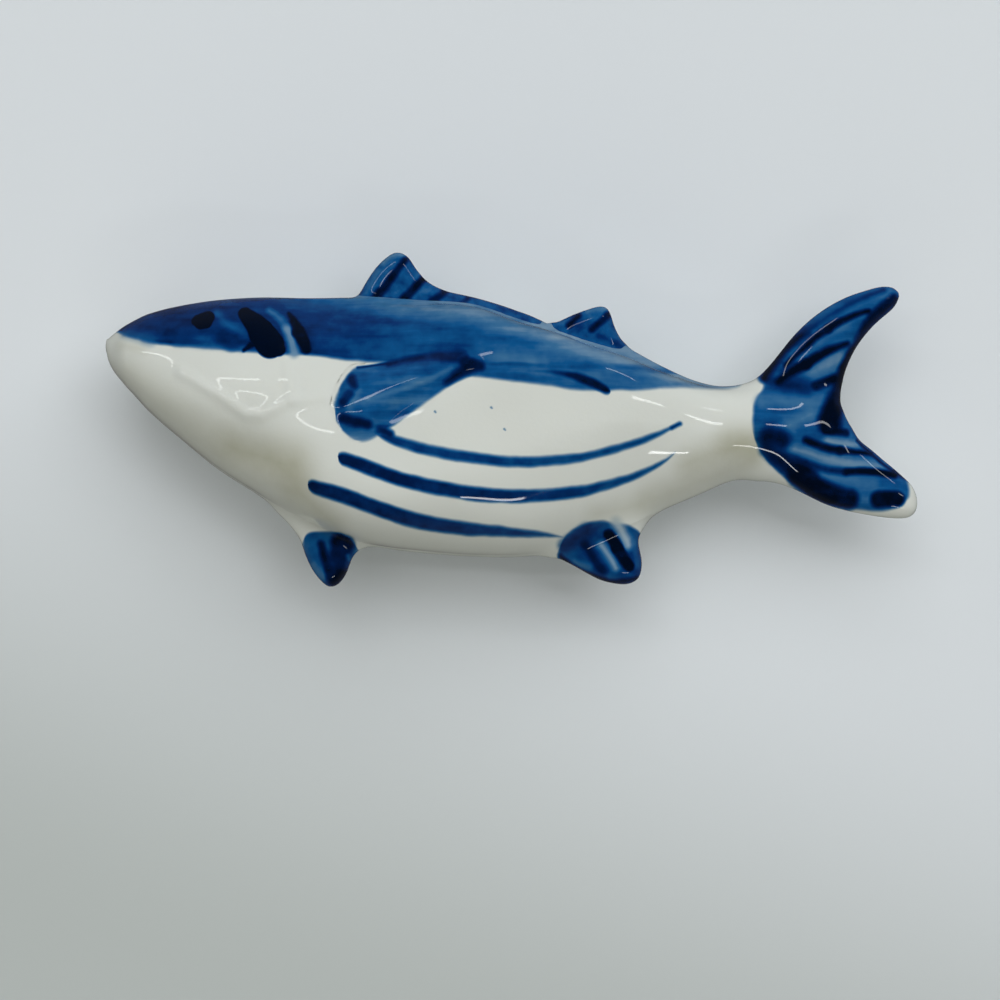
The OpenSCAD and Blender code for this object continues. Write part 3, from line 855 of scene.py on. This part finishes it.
class Brush:
    """Lays strokes of cobalt on a bench, in plan, by pixels of the photograph."""

    def __init__(self, bench):
        self.bench = bench
        place = bench.add("ShaderNodeTexCoord", {}, {}, "Object")
        mm = bench.add("ShaderNodeVectorMath", {"operation": "SCALE"}, {0: place, "Scale": 1 / MM})
        self.x, self.y, self.z = (
            bench.add("ShaderNodeSeparateXYZ", {}, {0: mm}, axis) for axis in "XYZ")
        # The hand's tremble shifts the edges of every stroke a little
        self.px = self.x + (bench.noise(mm, tremble_scale) - 0.5) * tremble
        aside = bench.add("ShaderNodeVectorMath", {"operation": "ADD"}, {0: mm, 1: tremble_aside})
        self.py = self.y + (bench.noise(aside, tremble_scale) - 0.5) * tremble
        along_streaks = (v * scale for v, scale in zip((self.x, self.y, self.z), streak_scales))
        self.streaks = bench.noise(bench.point(*along_streaks), 1.0, streak_detail)
        self.cloud = bench.noise(mm, cloud_scale, cloud_detail)
        self.mottle = bench.noise(mm, mottle_scale, cloud_detail)
        self.near = self.z.step(*(seam_height - depth for depth in near_depths))
        self.density = bench.add("NodeGroupInput", {}, {}, "Cobalt")

    def lay(self, mask, density, near=True):
        """Lays cobalt of this density where the mask is 1. It pools and thins a little."""
        pooled = self.cloud * cloud_share + self.mottle * mottle_share
        if near:
            mask = mask * self.near
        self.density = self.density.towards(density * (thin_share + pooled), mask)

    def wash(self, mask, density, texture, unevenness, near=True):
        """Lays an even density that a texture, streaks or clouds, makes uneven."""
        self.lay(mask, density + (texture - 0.5) * unevenness, near)

    def strokes(self, strokes):
        for stroke in strokes:
            self.stroke(stroke)

    def stroke(self, stroke):
        a, b = laid([stroke.start, stroke.end])
        length = float(np.hypot(*(b - a)))
        t = (b - a) / length
        dx, dy = self.px - float(a[0]), self.py - float(a[1])
        along_it = dx * float(t[0]) + dy * float(t[1])
        off = dy * float(t[0]) - dx * float(t[1])
        share = (along_it / length).most(0.0).least(1.0)
        if stroke.bulge:
            off = off - share * (1 - share) * (4 * stroke.bulge / px_per_mm)
        past = along_it - share * length
        reach = (off * off + past * past).root()
        half = [width / 2 / px_per_mm for width in stroke.widths]
        edge = share * (half[1] - half[0]) + half[0] - reach
        self.lay(edge.step(-stroke.soft, stroke.soft) * stroke.strength, stroke.density)

    def sweep(self, sweep):
        p = laid(sweep.points)
        centre = self.bench.curve(self.px, p)
        half = np.array(sweep.widths) / 2 / px_per_mm
        half[0] = half[-1] = -brush_soft
        width = self.bench.curve(self.px, np.stack([p[:, 0], half], 1))
        edge = width - (self.py - centre).size()
        share = ((self.px - float(p[0, 0])) / float(p[-1, 0] - p[0, 0])).most(0.0).least(1.0)
        first, last = sweep.densities
        self.lay(edge.step(-brush_soft, brush_soft), share * (last - first) + first)

    def above(self, points, soft=brush_soft):
        """Mask of what lies above the line through pixels, in the photograph's sense."""
        return (self.py - self.bench.curve(self.px, laid(points))).step(-soft, soft)

    def right_of(self, points, soft=brush_soft):
        """Mask of what lies right of a line through pixels."""
        p = laid(points)[:, ::-1]
        return (self.px - self.bench.curve(self.py, p[np.argsort(p[:, 0])])).step(-soft, soft)


class Stroke(NamedTuple):
    """A stroke of the brush: pixels of its ends, its widths there in pixels, its density, its bow
    in pixels, the softness of its edge in millimetres and the share of it that takes."""
    start: tuple
    end: tuple
    widths: tuple
    density: float
    bulge: float = 0.0
    soft: float = brush_soft
    strength: float = 1.0


class Sweep(NamedTuple):
    """A long stroke from left to right: its pixels, its width at each of them and its density at
    both ends."""
    points: list
    widths: tuple
    densities: tuple


# Back: the lower edge of its wash, and the crest line above which it is painted paler as a painted
# reflection on the back's steep wall
back_edge = [
    (112, 329), (118, 332), (140, 339), (165, 344), (190, 346), (214, 348), (244, 351), (280, 353),
    (311, 354), (339, 358), (376, 361), (430, 369), (484, 377), (508, 380), (547, 385), (587, 390),
    (620, 390), (650, 389), (680, 387), (715, 389), (733, 388), (745, 378), (760, 362), (775, 345)]
crest_line = [
    (262, 300), (300, 302), (350, 306), (405, 314), (468, 322), (508, 334), (547, 345), (587, 358),
    (640, 374), (700, 392)]
crest_soft = 0.9
# Density of the back's wash, how it changes over the head and the rear, what the painted reflection
# above the crest takes from it, and its streaks
back_density, head_gain, rear_loss, crest_reflection_paling, back_streaks = 0.56, 0.17, 0.07, 0.23, 0.40
# Places between which the head's gain and the rear's loss set in
head_onset, rear_onset = (-5.0, -17.0), (0.0, 12.0)
# Heights between which the wash ends on the far side, and how far that edge wanders
far_edge, far_wander = (seam_height - 4.2, seam_height - 3.4), 3
back_strokes = [
    Stroke((484, 350), (636, 380), (22, 12), 0.44, bulge=-3, soft=0.9, strength=0.65),
    Stroke((490, 360), (596, 376), (7, 6), 0.34, bulge=-4, soft=0.5, strength=0.45),
    Stroke((498, 357), (544, 363), (8, 6), 0.30, bulge=-1, soft=0.5, strength=0.55),
    Stroke((318, 344), (398, 348), (9, 18), 0.53, soft=0.6, strength=0.65),
    Stroke((304, 309), (334, 311), (8, 6), 0.50, soft=0.7, strength=0.5)]


def paint_back(brush):
    """Blue wash over the back, streaked by the brush, paler above the crest as a painted
    reflection, and wrapped round to the far side.
    """
    wrapped = (brush.z + (brush.cloud - 0.5) * far_wander).step(*far_edge)
    # Above the crest the wash is made paler: a painted reflection
    density = (back_density + brush.x.step(*head_onset) * head_gain
               - brush.x.step(*rear_onset) * rear_loss
               - brush.above(crest_line, crest_soft) * crest_reflection_paling)
    brush.wash(brush.above(back_edge) * wrapped, density, brush.streaks, back_streaks, near=False)
    brush.strokes(back_strokes)


face_patches = [
    Stroke((124, 333), (150, 338), (6, 11), 0.50, soft=0.6, strength=0.7),
    Stroke((176, 344), (240, 348), (4, 6), 0.42, soft=0.4, strength=0.6),
    Stroke((216, 312), (241, 330), (7, 10), 0.44, bulge=-3, soft=0.5, strength=0.7),
    Stroke((182, 336), (214, 341), (7, 5), 0.50, soft=0.5, strength=0.6)]
face_spots = [
    Stroke((150, 322), (186, 330), (9, 18), 0.68, soft=0.6, strength=0.7),
    Stroke((166, 329), (172, 330), (9, 9), 0.80, soft=0.5, strength=0.8),
    Stroke((222, 336), (231, 342), (16, 15), 0.82, soft=0.5, strength=0.9)]
pale_gill_band = [
    Stroke((268, 310), (285, 328), (5, 8), 0.34, bulge=2, soft=0.3, strength=0.7),
    Stroke((285, 328), (293, 352), (8, 10), 0.24, bulge=1, soft=0.35, strength=0.92)]
rear_gill_bar = [
    Stroke((287, 313), (296, 330), (4, 12), 1.0, bulge=1, soft=0.2),
    Stroke((297, 331), (305, 348), (13, 10), 1.0, bulge=1, soft=0.2)]
front_gill_bar = [
    Stroke((244, 313), (259, 330), (13, 24), 1.15, bulge=1, soft=0.15),
    Stroke((260, 332), (269, 344), (25, 27), 1.15, soft=0.15),
    Stroke((270, 347), (278, 349), (18, 12), 1.15, soft=0.15),
    Stroke((243, 350), (250, 344), (3, 7), 1.0, soft=0.15)]
eye = [
    Stroke((197, 320), (207, 317), (12, 13), 1.15, soft=0.15),
    Stroke((200, 323), (205, 322), (12, 12), 1.15, soft=0.15)]


def paint_face(brush):
    """Eye, gill bars and the soft dark spots between them."""
    for strokes in (face_patches, face_spots, pale_gill_band, rear_gill_bar, front_gill_bar, eye):
        brush.strokes(strokes)


# Long stroke behind the pectoral fin, and the three stripes along the belly
flank_stroke = Sweep(
    [(478, 371), (486, 368), (508, 366), (530, 368), (557, 371), (575, 376), (592, 383), (604, 389),
     (611, 392)],
    (0, 5, 5, 5, 6, 8, 9, 8, 0), (0.66, 0.95))
upper_stripe = Sweep(
    [(376, 434), (400, 442), (433, 451), (475, 458), (520, 462), (560, 460), (600, 453), (640, 441),
     (680, 424)],
    (0, 9, 9.5, 9.5, 9, 8.5, 7, 6, 0), (0.66, 0.60))
upper_stripe_end = [Stroke((672, 428), (680, 424), (2, 2.5), 0.86)]
middle_stripe = Sweep(
    [(338, 456), (341, 458), (347, 460), (364, 466), (397, 478), (450, 490), (505, 496), (560, 494),
     (610, 484), (650, 469), (677, 451)],
    (0, 9, 12.5, 13, 13, 13, 12, 11, 8, 5, 0), (0.84, 0.58))
lower_stripe = Sweep(
    [(308, 485), (311, 486), (317, 488), (335, 493), (372, 506), (415, 520), (460, 528), (510, 532),
     (545, 535), (566, 537)],
    (0, 9, 13, 14, 14.5, 14.5, 12.5, 8, 3.5, 0), (0.82, 0.60))
iron_specks = [
    Stroke((x, y), (x + 1, y + 1), (2.2, 1.6), 0.5, soft=0.08, strength=0.5)
    for x, y in ((435, 411), (491, 407), (504, 429))]


def paint_flank(brush):
    """Long stroke behind the pectoral fin, the three stripes and the specks in the glaze."""
    brush.sweep(flank_stroke)
    brush.sweep(upper_stripe)
    brush.strokes(upper_stripe_end)
    brush.sweep(middle_stripe)
    brush.sweep(lower_stripe)
    brush.strokes(iron_specks)


# Edges of the pectoral fin's wash: towards the belly, towards the back and towards the head
pectoral_belly_edge = [
    (330, 400), (334, 409), (337, 422), (348, 435), (362, 441), (378, 435), (395, 424), (421, 405),
    (448, 387), (471, 375), (490, 371)]
pectoral_back_edge = [
    (330, 398), (337, 390), (347, 374), (356, 367), (371, 366), (389, 362), (421, 357), (440, 352),
    (459, 352), (479, 358), (490, 364)]
pectoral_head_edge = [
    (355, 365), (347, 375), (338, 390), (334, 409), (337, 422), (348, 436), (360, 441)]
pectoral_density, pectoral_streaks = 0.50, 0.5
# Pale strokes on the pectoral fin: the long one along its upper part is a painted highlight
pectoral_pale_ray_and_highlight = [
    Stroke((368, 398), (452, 368), (5, 5), 0.26, bulge=-3, soft=0.25, strength=0.55),
    Stroke((358, 392), (350, 408), (6, 8), 0.28, soft=0.4, strength=0.5)]
pectoral_upper_rim = [
    Stroke((357, 367), (390, 363), (2, 3), 0.80, soft=0.15),
    Stroke((388, 364), (462, 357), (4, 12), 0.80, bulge=4, soft=0.3)]
pectoral_tip = [
    Stroke((446, 382), (472, 366), (4, 12), 0.90, soft=0.4),
    Stroke((466, 363), (480, 366), (12, 9), 0.92, soft=0.35)]
pectoral_dabs = [
    Stroke((351, 378), (354, 386), (8, 7), 0.84, soft=0.3),
    Stroke((349, 394), (343, 402), (8, 9), 0.82, soft=0.3),
    Stroke((343, 419), (367, 424), (10, 9), 0.90, soft=0.35),
    Stroke((380, 430), (390, 434), (8, 8), 0.78, soft=0.3),
    Stroke((352, 436), (372, 437), (4, 4), 0.22, bulge=-2, soft=0.35, strength=0.5)]


def paint_pectoral(brush):
    """Wash and strokes of the pectoral fin, the long pale one a painted highlight."""
    inside = (brush.above(pectoral_belly_edge) * (1 - brush.above(pectoral_back_edge))
              * brush.right_of(pectoral_head_edge))
    brush.wash(inside, pectoral_density, brush.streaks, pectoral_streaks)
    for strokes in (pectoral_pale_ray_and_highlight, pectoral_upper_rim, pectoral_tip, pectoral_dabs):
        brush.strokes(strokes)


# Edges of the tail's wash: at its root, at the tip of the lower lobe and along that lobe's rim
tail_root_edge = [
    (764, 374), (764, 384), (757, 398), (753, 411), (753, 428), (756, 443), (763, 456), (773, 469)]
tail_root_soft = 0.25
tail_tip_edge = [(901, 468), (907, 482), (909, 492), (905, 502), (896, 511)]
tail_rim_edge = [
    (752, 430), (756, 443), (763, 456), (773, 467), (786, 479), (800, 489), (814, 496), (830, 502),
    (852, 508), (876, 511), (895, 508), (910, 500)]
tail_density, tail_streaks = 0.52, 0.4
upper_lobe_edge = [
    Stroke((800, 360), (862, 316), (6, 7), 0.40, bulge=3, soft=0.4, strength=0.7),
    Stroke((850, 306), (886, 293), (8, 12), 0.36, bulge=2, soft=0.5, strength=0.7),
    Stroke((764, 378), (806, 332), (9, 7), 0.98, bulge=4, soft=0.4),
    Stroke((806, 332), (884, 290), (6, 5), 0.74, bulge=4, soft=0.4)]
# Pale patches on the tail: painted sheen, the glaze's hazy reflections painted into its colour
tail_painted_sheen = [
    Stroke((812, 372), (838, 358), (12, 18), 0.28, soft=0.7, strength=0.85),
    Stroke((762, 402), (822, 402), (12, 14), 0.34, soft=0.6, strength=0.8),
    Stroke((790, 424), (812, 414), (12, 10), 0.26, soft=0.7, strength=0.7)]
fork_edge = [
    Stroke((893, 300), (854, 350), (11, 9), 0.92, bulge=-5, soft=0.35),
    Stroke((854, 350), (838, 400), (9, 14), 0.98, bulge=-4, soft=0.35),
    Stroke((836, 398), (830, 422), (18, 24), 0.98, soft=0.5)]
upper_lobe_rays = [
    Stroke((772, 383), (806, 388), (10, 14), 0.82, soft=0.6, strength=0.8),
    Stroke((786, 366), (828, 329), (3, 8), 1.0, bulge=2, soft=0.3),
    Stroke((828, 329), (869, 311), (8, 4), 1.0, bulge=2, soft=0.25),
    Stroke((778, 382), (806, 364), (6, 10), 1.0, bulge=1, soft=0.35),
    Stroke((806, 364), (847, 344), (10, 5), 1.0, bulge=2, soft=0.3),
    Stroke((816, 386), (835, 378), (9, 8), 0.98, soft=0.3)]
lower_lobe_pale_rays = [
    Stroke((828, 441), (858, 444), (9, 6), 0.20, bulge=-1, soft=0.4, strength=0.85),
    Stroke((790, 447), (884, 468), (8, 12), 0.24, bulge=-3, soft=0.5, strength=0.85),
    Stroke((804, 470), (872, 483), (7, 12), 0.34, bulge=-2, soft=0.5, strength=0.7)]
lower_lobe_edge = [
    Stroke((770, 436), (782, 440), (16, 16), 0.98, soft=0.7),
    Stroke((768, 448), (806, 474), (14, 20), 0.88, bulge=-2, soft=0.6),
    Stroke((800, 474), (848, 499), (24, 20), 1.0, bulge=-5, soft=0.45)]
lower_lobe_rays = [
    Stroke((826, 429), (846, 433), (8, 7), 1.0, soft=0.25),
    Stroke((806, 440), (840, 450), (6, 8), 1.0, bulge=-1, soft=0.3),
    Stroke((840, 450), (872, 454), (7, 3), 1.0, soft=0.25),
    Stroke((796, 460), (846, 472), (5, 7), 0.84, bulge=-2, soft=0.35),
    Stroke((846, 472), (894, 475), (7, 7), 1.0, bulge=2, soft=0.25),
    Stroke((879, 499), (897, 499), (17, 15), 1.0, soft=0.3),
    Stroke((858, 440), (908, 480), (3, 3), 0.84, bulge=-3, soft=0.2)]


def paint_tail(brush):
    """Wash, rays and painted sheen of the tail. The rim of the lower lobe stays white."""
    inside = (brush.right_of(tail_root_edge, tail_root_soft) * brush.above(tail_rim_edge)
              * (1 - brush.right_of(tail_tip_edge)))
    brush.wash(inside, tail_density, brush.streaks, tail_streaks)
    for strokes in (upper_lobe_edge, tail_painted_sheen, fork_edge, upper_lobe_rays,
                    lower_lobe_pale_rays, lower_lobe_edge, lower_lobe_rays):
        brush.strokes(strokes)


# Edges of the pelvic fin's wash: its root, towards the head and towards the tail
pelvic_root_edge = [
    (298, 552), (303, 542), (309, 534), (320, 532), (334, 532), (346, 536), (355, 544), (360, 555)]
pelvic_root_soft = 0.2
pelvic_head_edge = [(303, 540), (304, 555), (325, 585)]
pelvic_tail_edge = [(357, 535), (357, 560), (345, 590)]
pelvic_density, pelvic_clouds = 0.50, 0.4
pelvic_strokes = [
    Stroke((314, 566), (322, 576), (8, 9), 0.34, soft=0.4, strength=0.7),
    Stroke((340, 543), (346, 544), (18, 16), 1.0, soft=0.4),
    Stroke((340, 556), (335, 575), (22, 15), 0.86, soft=0.5),
    Stroke((340, 572), (333, 580), (12, 12), 1.0, soft=0.4),
    Stroke((321, 544), (330, 574), (7, 8), 0.92, soft=0.3),
    Stroke((348, 556), (349, 559), (4, 4), 0.36, soft=0.25, strength=0.7)]
# Edges of the anal fin's wash: its root and towards the head
anal_root_edge = [
    (553, 560), (559, 549), (566, 536), (581, 526), (602, 521), (612, 523), (632, 527), (642, 545)]
anal_root_soft = 0.25
anal_head_edge = [(559, 530), (559, 560), (570, 585)]
anal_density, anal_clouds = 0.60, 0.4
anal_pale_rays = [
    Stroke((566, 545), (586, 532), (12, 14), 0.84, soft=0.6, strength=0.8),
    Stroke((585, 544), (603, 571), (8, 9), 0.88, bulge=-1, soft=0.35),
    Stroke((574, 562), (588, 568), (6, 6), 0.34, soft=0.4, strength=0.7),
    Stroke((601, 545), (616, 568), (8, 7), 0.14, bulge=1, soft=0.4, strength=0.85),
    Stroke((616, 523), (628, 545), (11, 10), 0.12, bulge=1, soft=0.45, strength=0.9),
    Stroke((634, 540), (637, 566), (6, 6), 0.48, soft=0.3, strength=0.7)]
anal_rim = [
    Stroke((560, 556), (604, 580), (4, 5), 0.95, bulge=-3, soft=0.25),
    Stroke((604, 581), (636, 578), (5, 4), 0.92, bulge=-2, soft=0.25)]
anal_bar = [
    Stroke((608, 534), (618, 549), (10, 11), 1.0, bulge=1, soft=0.2),
    Stroke((617, 548), (629, 566), (11, 11), 1.0, soft=0.2)]


def paint_belly_fins(brush):
    """Wash and strokes of the pelvic fin and the anal fin."""
    inside = ((1 - brush.above(pelvic_root_edge, pelvic_root_soft))
              * brush.right_of(pelvic_head_edge) * (1 - brush.right_of(pelvic_tail_edge)))
    brush.wash(inside, pelvic_density, brush.cloud, pelvic_clouds)
    brush.strokes(pelvic_strokes)
    inside = (1 - brush.above(anal_root_edge, anal_root_soft)) * brush.right_of(anal_head_edge)
    brush.wash(inside, anal_density, brush.cloud, anal_clouds)
    for strokes in (anal_pale_rays, anal_rim, anal_bar):
        brush.strokes(strokes)


# Glaze run together, and painted shade: darker olive patches at the nose tip, under the jaw, in the
# throat hollow, by the pelvic fin and along the rear of the belly, partly real pooled glaze and
# partly shade painted where the undersides face away from the light
pooled_glaze_and_shade_strokes = [
    Stroke((122, 345), (142, 349), (8, 6), 1.2, soft=0.8, strength=0.25),
    Stroke((128, 372), (206, 436), (20, 40), 1.2, soft=1.8, strength=0.20),
    Stroke((234, 448), (290, 466), (22, 36), 1.2, soft=2.4, strength=0.64),
    Stroke((300, 492), (334, 524), (22, 14), 1.2, soft=1.8, strength=0.45),
    Stroke((596, 514), (640, 506), (8, 14), 1.2, soft=1.6, strength=0.32),
    Stroke((654, 498), (752, 462), (22, 16), 1.2, soft=1.8, strength=0.28),
    Stroke((690, 462), (752, 442), (20, 24), 1.2, soft=1.6, strength=0.42),
    Stroke((730, 440), (750, 448), (20, 24), 1.2, soft=1.6, strength=0.42)]


def paint_gathered(brush):
    """Pooled glaze in the hollows and along the belly, darkened further as painted shade."""
    brush.strokes(pooled_glaze_and_shade_strokes)


# Root of the two dorsal fins, above which their wash lies
dorsal_root_edge = [
    (350, 300), (405, 304), (468, 311), (508, 322), (547, 332), (587, 347), (640, 363), (700, 385)]
dorsal_root_soft = 0.3
dorsal_density, dorsal_mottle = 0.56, 0.35
first_dorsal_pale_rays = [
    Stroke((366, 294), (376, 274), (5, 8), 0.34, soft=0.4, strength=0.6),
    Stroke((384, 263), (402, 255), (6, 7), 0.22, bulge=3, soft=0.35, strength=0.7),
    Stroke((418, 274), (424, 290), (5, 7), 0.34, soft=0.4, strength=0.6)]
first_dorsal_bars = [
    Stroke((405, 260), (376, 298), (6, 9), 0.96, soft=0.25),
    Stroke((425, 277), (404, 299), (7, 9), 0.94, soft=0.25),
    Stroke((446, 291), (432, 302), (6, 8), 0.90, soft=0.25),
    Stroke((467, 299), (458, 306), (5, 5), 0.84, soft=0.25)]
first_dorsal_root = [
    Stroke((366, 300), (440, 305), (6, 5), 0.84, soft=0.4, strength=0.8),
    Stroke((440, 306), (560, 333), (4, 5), 0.82, soft=0.4, strength=0.7)]
second_dorsal_strokes = [
    Stroke((588, 311), (606, 309), (5, 6), 0.26, bulge=1, soft=0.35, strength=0.7),
    Stroke((579, 316), (569, 325), (5, 6), 0.92, soft=0.25),
    Stroke((608, 315), (592, 330), (7, 6), 0.94, soft=0.25),
    Stroke((600, 336), (622, 346), (6, 5), 0.80, soft=0.4, strength=0.7)]


def paint_dorsals(brush):
    """Bars of the two dorsal fins over an uneven wash."""
    fins = brush.above(dorsal_root_edge, dorsal_root_soft)
    brush.wash(fins, dorsal_density, brush.mottle, dorsal_mottle)
    for strokes in (first_dorsal_pale_rays, first_dorsal_bars, first_dorsal_root,
                    second_dorsal_strokes):
        brush.strokes(strokes)


def painting_group(painting):
    """The painting as a group of nodes, which adds its cobalt to what is there."""
    if painting.__name__ in bpy.data.node_groups:
        return bpy.data.node_groups[painting.__name__]
    tree = bpy.data.node_groups.new(painting.__name__, "ShaderNodeTree")
    for way in ("INPUT", "OUTPUT"):
        tree.interface.new_socket(name="Cobalt", in_out=way, socket_type="NodeSocketFloat")
    brush = Brush(Bench(tree))
    painting(brush)
    brush.bench.add("NodeGroupOutput", {}, {"Cobalt": brush.density})
    return tree


def new_material(name):
    material = bpy.data.materials.new(name)
    material.use_nodes = True
    return material, Bench(material.node_tree)


# What the glaze takes from the colour where it has run together and where shade is painted, and the
# bare clay of the foot
pooled_glaze_and_shade_tint = (0.52, 0.495, 0.36, 1)
bare_clay = (*linear(214, 206, 190), 1)
# Heights between which the glaze ends above the foot
glaze_end = (0.35 * MM, 0.12 * MM)
# Roughness under the clear coat and what bare clay adds to it, and the coat's own
body_roughness, bare_gain, coat_roughness = 0.22, 0.5, 0.035
# The glaze's ripple: fineness, detail and share of its two parts, its strength and its depth
ripples = [(0.9 / MM, 2.0, 0.7), (3.2 / MM, 1.0, 0.3)]
ripple_strength, ripple_depth = 0.10, 0.3 * MM


def porcelain(name, *paintings):
    """Clear gloss glaze over clay that the paintings colour, with a bare matt foot."""
    material, bench = new_material(name)
    cobalt = 0.0
    for painting in paintings:
        cobalt = bench.add("ShaderNodeGroup", {"node_tree": painting_group(painting)},
                           {"Cobalt": cobalt})
    colour = bench.add("ShaderNodeValToRGB", {"stops": cobalt_stops}, {0: cobalt}, "Color")
    # Pooled glaze and painted shade darken the colour towards an olive tint
    pooled_glaze_and_shade = bench.add("ShaderNodeGroup", {"node_tree": painting_group(paint_gathered)}, {
        "Cobalt": 0.0})
    colour = bench.add("ShaderNodeMix", {"data_type": "RGBA", "blend_type": "MULTIPLY"}, {
        "Factor": pooled_glaze_and_shade, 6: colour, 7: pooled_glaze_and_shade_tint}, 2)
    place = bench.add("ShaderNodeTexCoord", {}, {}, "Object")
    height = bench.add("ShaderNodeSeparateXYZ", {}, {0: place}, "Z")
    bare = height.step(*glaze_end)
    colour = bench.add("ShaderNodeMix", {"data_type": "RGBA"}, {
        "Factor": bare, 6: colour, 7: bare_clay}, 2)
    broad, fine = (bench.noise(place, scale, detail) * share for scale, detail, share in ripples)
    normal = bench.add("ShaderNodeBump", {}, {
        "Height": broad + fine, "Strength": ripple_strength, "Distance": ripple_depth})
    shader = bench.add("ShaderNodeBsdfPrincipled", {}, {
        "Base Color": colour, "Roughness": body_roughness + bare * bare_gain,
        "Coat Weight": 1 - bare, "Coat Roughness": coat_roughness, "Coat IOR": 1.5,
        "Specular IOR Level": 0.0, "Subsurface Weight": 0.05, "Subsurface Scale": 0.5 * MM,
        "Subsurface Radius": (1.0, 0.85, 0.6), "Normal": normal})
    bench.add("ShaderNodeOutputMaterial", {}, {"Surface": shader})
    return material


paintings = {
    "left_flank": (paint_back, paint_face, paint_flank, paint_pectoral, paint_belly_fins,
                   paint_tail),
    "right_flank": (paint_back, paint_belly_fins, paint_tail),
    "first_dorsal_fin": (paint_back, paint_dorsals),
    "second_dorsal_fin": (paint_back, paint_dorsals),
    "tail_fin": (paint_back, paint_tail),
    "pelvic_fin": (paint_belly_fins,),
    "anal_fin": (paint_belly_fins, paint_flank),
    "pectoral_fin": (paint_back, paint_flank, paint_pectoral)}


def build_fish():
    for name, bm in cut_pieces().items():
        obj = piece(name + "_glazed", bm, [porcelain(name + "_glaze", *paintings[name])])
        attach(obj, "root")
        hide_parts(name)
        white = name in ("left_flank", "right_flank")


# Floor of pale paper, darker towards the foot of the picture as painted shade where the light falls
# off: its colours at the top and at the foot of the picture, the places along a slanted line
# between which the painted shade sets in, and the slant
floor_pale, floor_shaded = (*linear(224, 229, 232), 1), (*linear(188, 194, 191), 1)
shade_places, shade_slant = (-5 * MM, -62 * MM), 0.35
# Light of the room: its colour, its strength overhead, what it gains towards the horizon and
# the heights between which it does
room_colour, room_strength, room_gain, room_heights = (1.0, 0.98, 0.90, 1), 0.02, 0.07, (0.5, -0.05)
# Lights too soft to show in the glaze: name, place and size in metres, watts and colour
soft_lights = [
    ("window", (0.25, 0.62, 0.80), (1.5, 0.9), 9.2, (0.96, 0.98, 1.0)),
    ("ceiling", (0, 0, 1.4), (2.0, 2.0), 6.9, (0.98, 0.99, 0.98)),
    ("fill", (-0.3, -0.85, 0.45), (1.0, 0.6), 1.7, (1.0, 0.98, 0.86))]
# Narrow strips that the glaze mirrors as thin lines: name, place, size and watts
strip_lights = [
    ("head_upper_strip", (-0.55, 0.56, 0.77), (0.90, 0.045), 0.60),
    ("head_lower_strip", (-0.55, 0.20, 0.94), (0.90, 0.045), 0.60),
    ("tail_upper_strip", (0.61, 0.56, 0.77), (0.20, 0.045), 0.17),
    ("tail_lower_strip", (0.61, 0.12, 0.94), (0.20, 0.045), 0.17),
    ("belly_strip", (0.28, -0.66, 0.70), (0.32, 0.03), 0.34)]


def area_light(name, place, size, watts, colour, aim, mirrored):
    """Rectangular light that faces the line along the fish at x = aim."""
    light = bpy.data.lights.new(name, "AREA")
    light.shape = "RECTANGLE"
    light.size, light.size_y = size
    light.energy = watts
    light.color = colour
    obj = bpy.data.objects.new(name, light)
    obj.location = place
    facing = (Vector((aim, 0, 0)) - Vector(place)).to_track_quat("-Z", "Y")
    obj.rotation_euler = facing.to_euler()
    obj.visible_glossy = mirrored
    bpy.context.scene.collection.objects.link(obj)


def build_floor():
    """Sheet of pale paper under the fish, which its glaze doesn't mirror, with painted shade
    towards the foot of the picture.
    """
    bpy.ops.mesh.primitive_plane_add(size=3, location=(0, 0, 0))
    floor = bpy.context.object
    floor.name = "floor"
    material, bench = new_material("floor_paper")
    place = bench.add("ShaderNodeTexCoord", {}, {}, "Object")
    floor_x, floor_y = (bench.add("ShaderNodeSeparateXYZ", {}, {0: place}, axis) for axis in "XY")
    floor_shade = (floor_y + floor_x * shade_slant).step(*shade_places)
    colour = bench.add("ShaderNodeMix", {"data_type": "RGBA"}, {
        "Factor": floor_shade, 6: floor_pale, 7: floor_shaded}, 2)
    shader = bench.add("ShaderNodeBsdfPrincipled", {}, {"Base Color": colour, "Roughness": 0.6})
    bench.add("ShaderNodeOutputMaterial", {}, {"Surface": shader})
    floor.data.materials.append(material)
    floor.visible_glossy = False


def build_lights():
    """Faint room light, soft studio lights and the strips that draw lines in the glaze."""
    world = bpy.data.worlds.new("room")
    world.use_nodes = True
    bench = Bench(world.node_tree)
    sky = bench.add("ShaderNodeTexCoord", {}, {}, "Generated")
    up = bench.add("ShaderNodeSeparateXYZ", {}, {0: sky}, "Z")
    light = bench.add("ShaderNodeBackground", {}, {
        "Color": room_colour, "Strength": room_strength + up.step(*room_heights) * room_gain})
    bench.add("ShaderNodeOutputWorld", {}, {"Surface": light})
    bpy.context.scene.world = world
    for name, place, size, watts, colour in soft_lights:
        area_light(name, place, size, watts, colour, 0, False)
    for name, place, size, watts in strip_lights:
        area_light(name, place, size, watts, (1, 1, 1), place[0], True)


def build_camera():
    """Camera that looks straight down, at the photograph's scale on the seam's level."""
    lens = bpy.data.cameras.new("camera")
    lens.sensor_width = lens.sensor_height = sensor_width
    lens.lens = sensor_width * camera_distance / frame_width
    lens.clip_start = 0.01
    camera = bpy.data.objects.new("camera", lens)
    camera.location = (camera_x * MM, camera_y * MM, (seam_height + camera_distance) * MM)
    bpy.context.scene.collection.objects.link(camera)
    bpy.context.scene.camera = camera
    bpy.context.scene.view_settings.view_transform = "Standard"


build_floor()
build_lights()
build_camera()
build_fish()
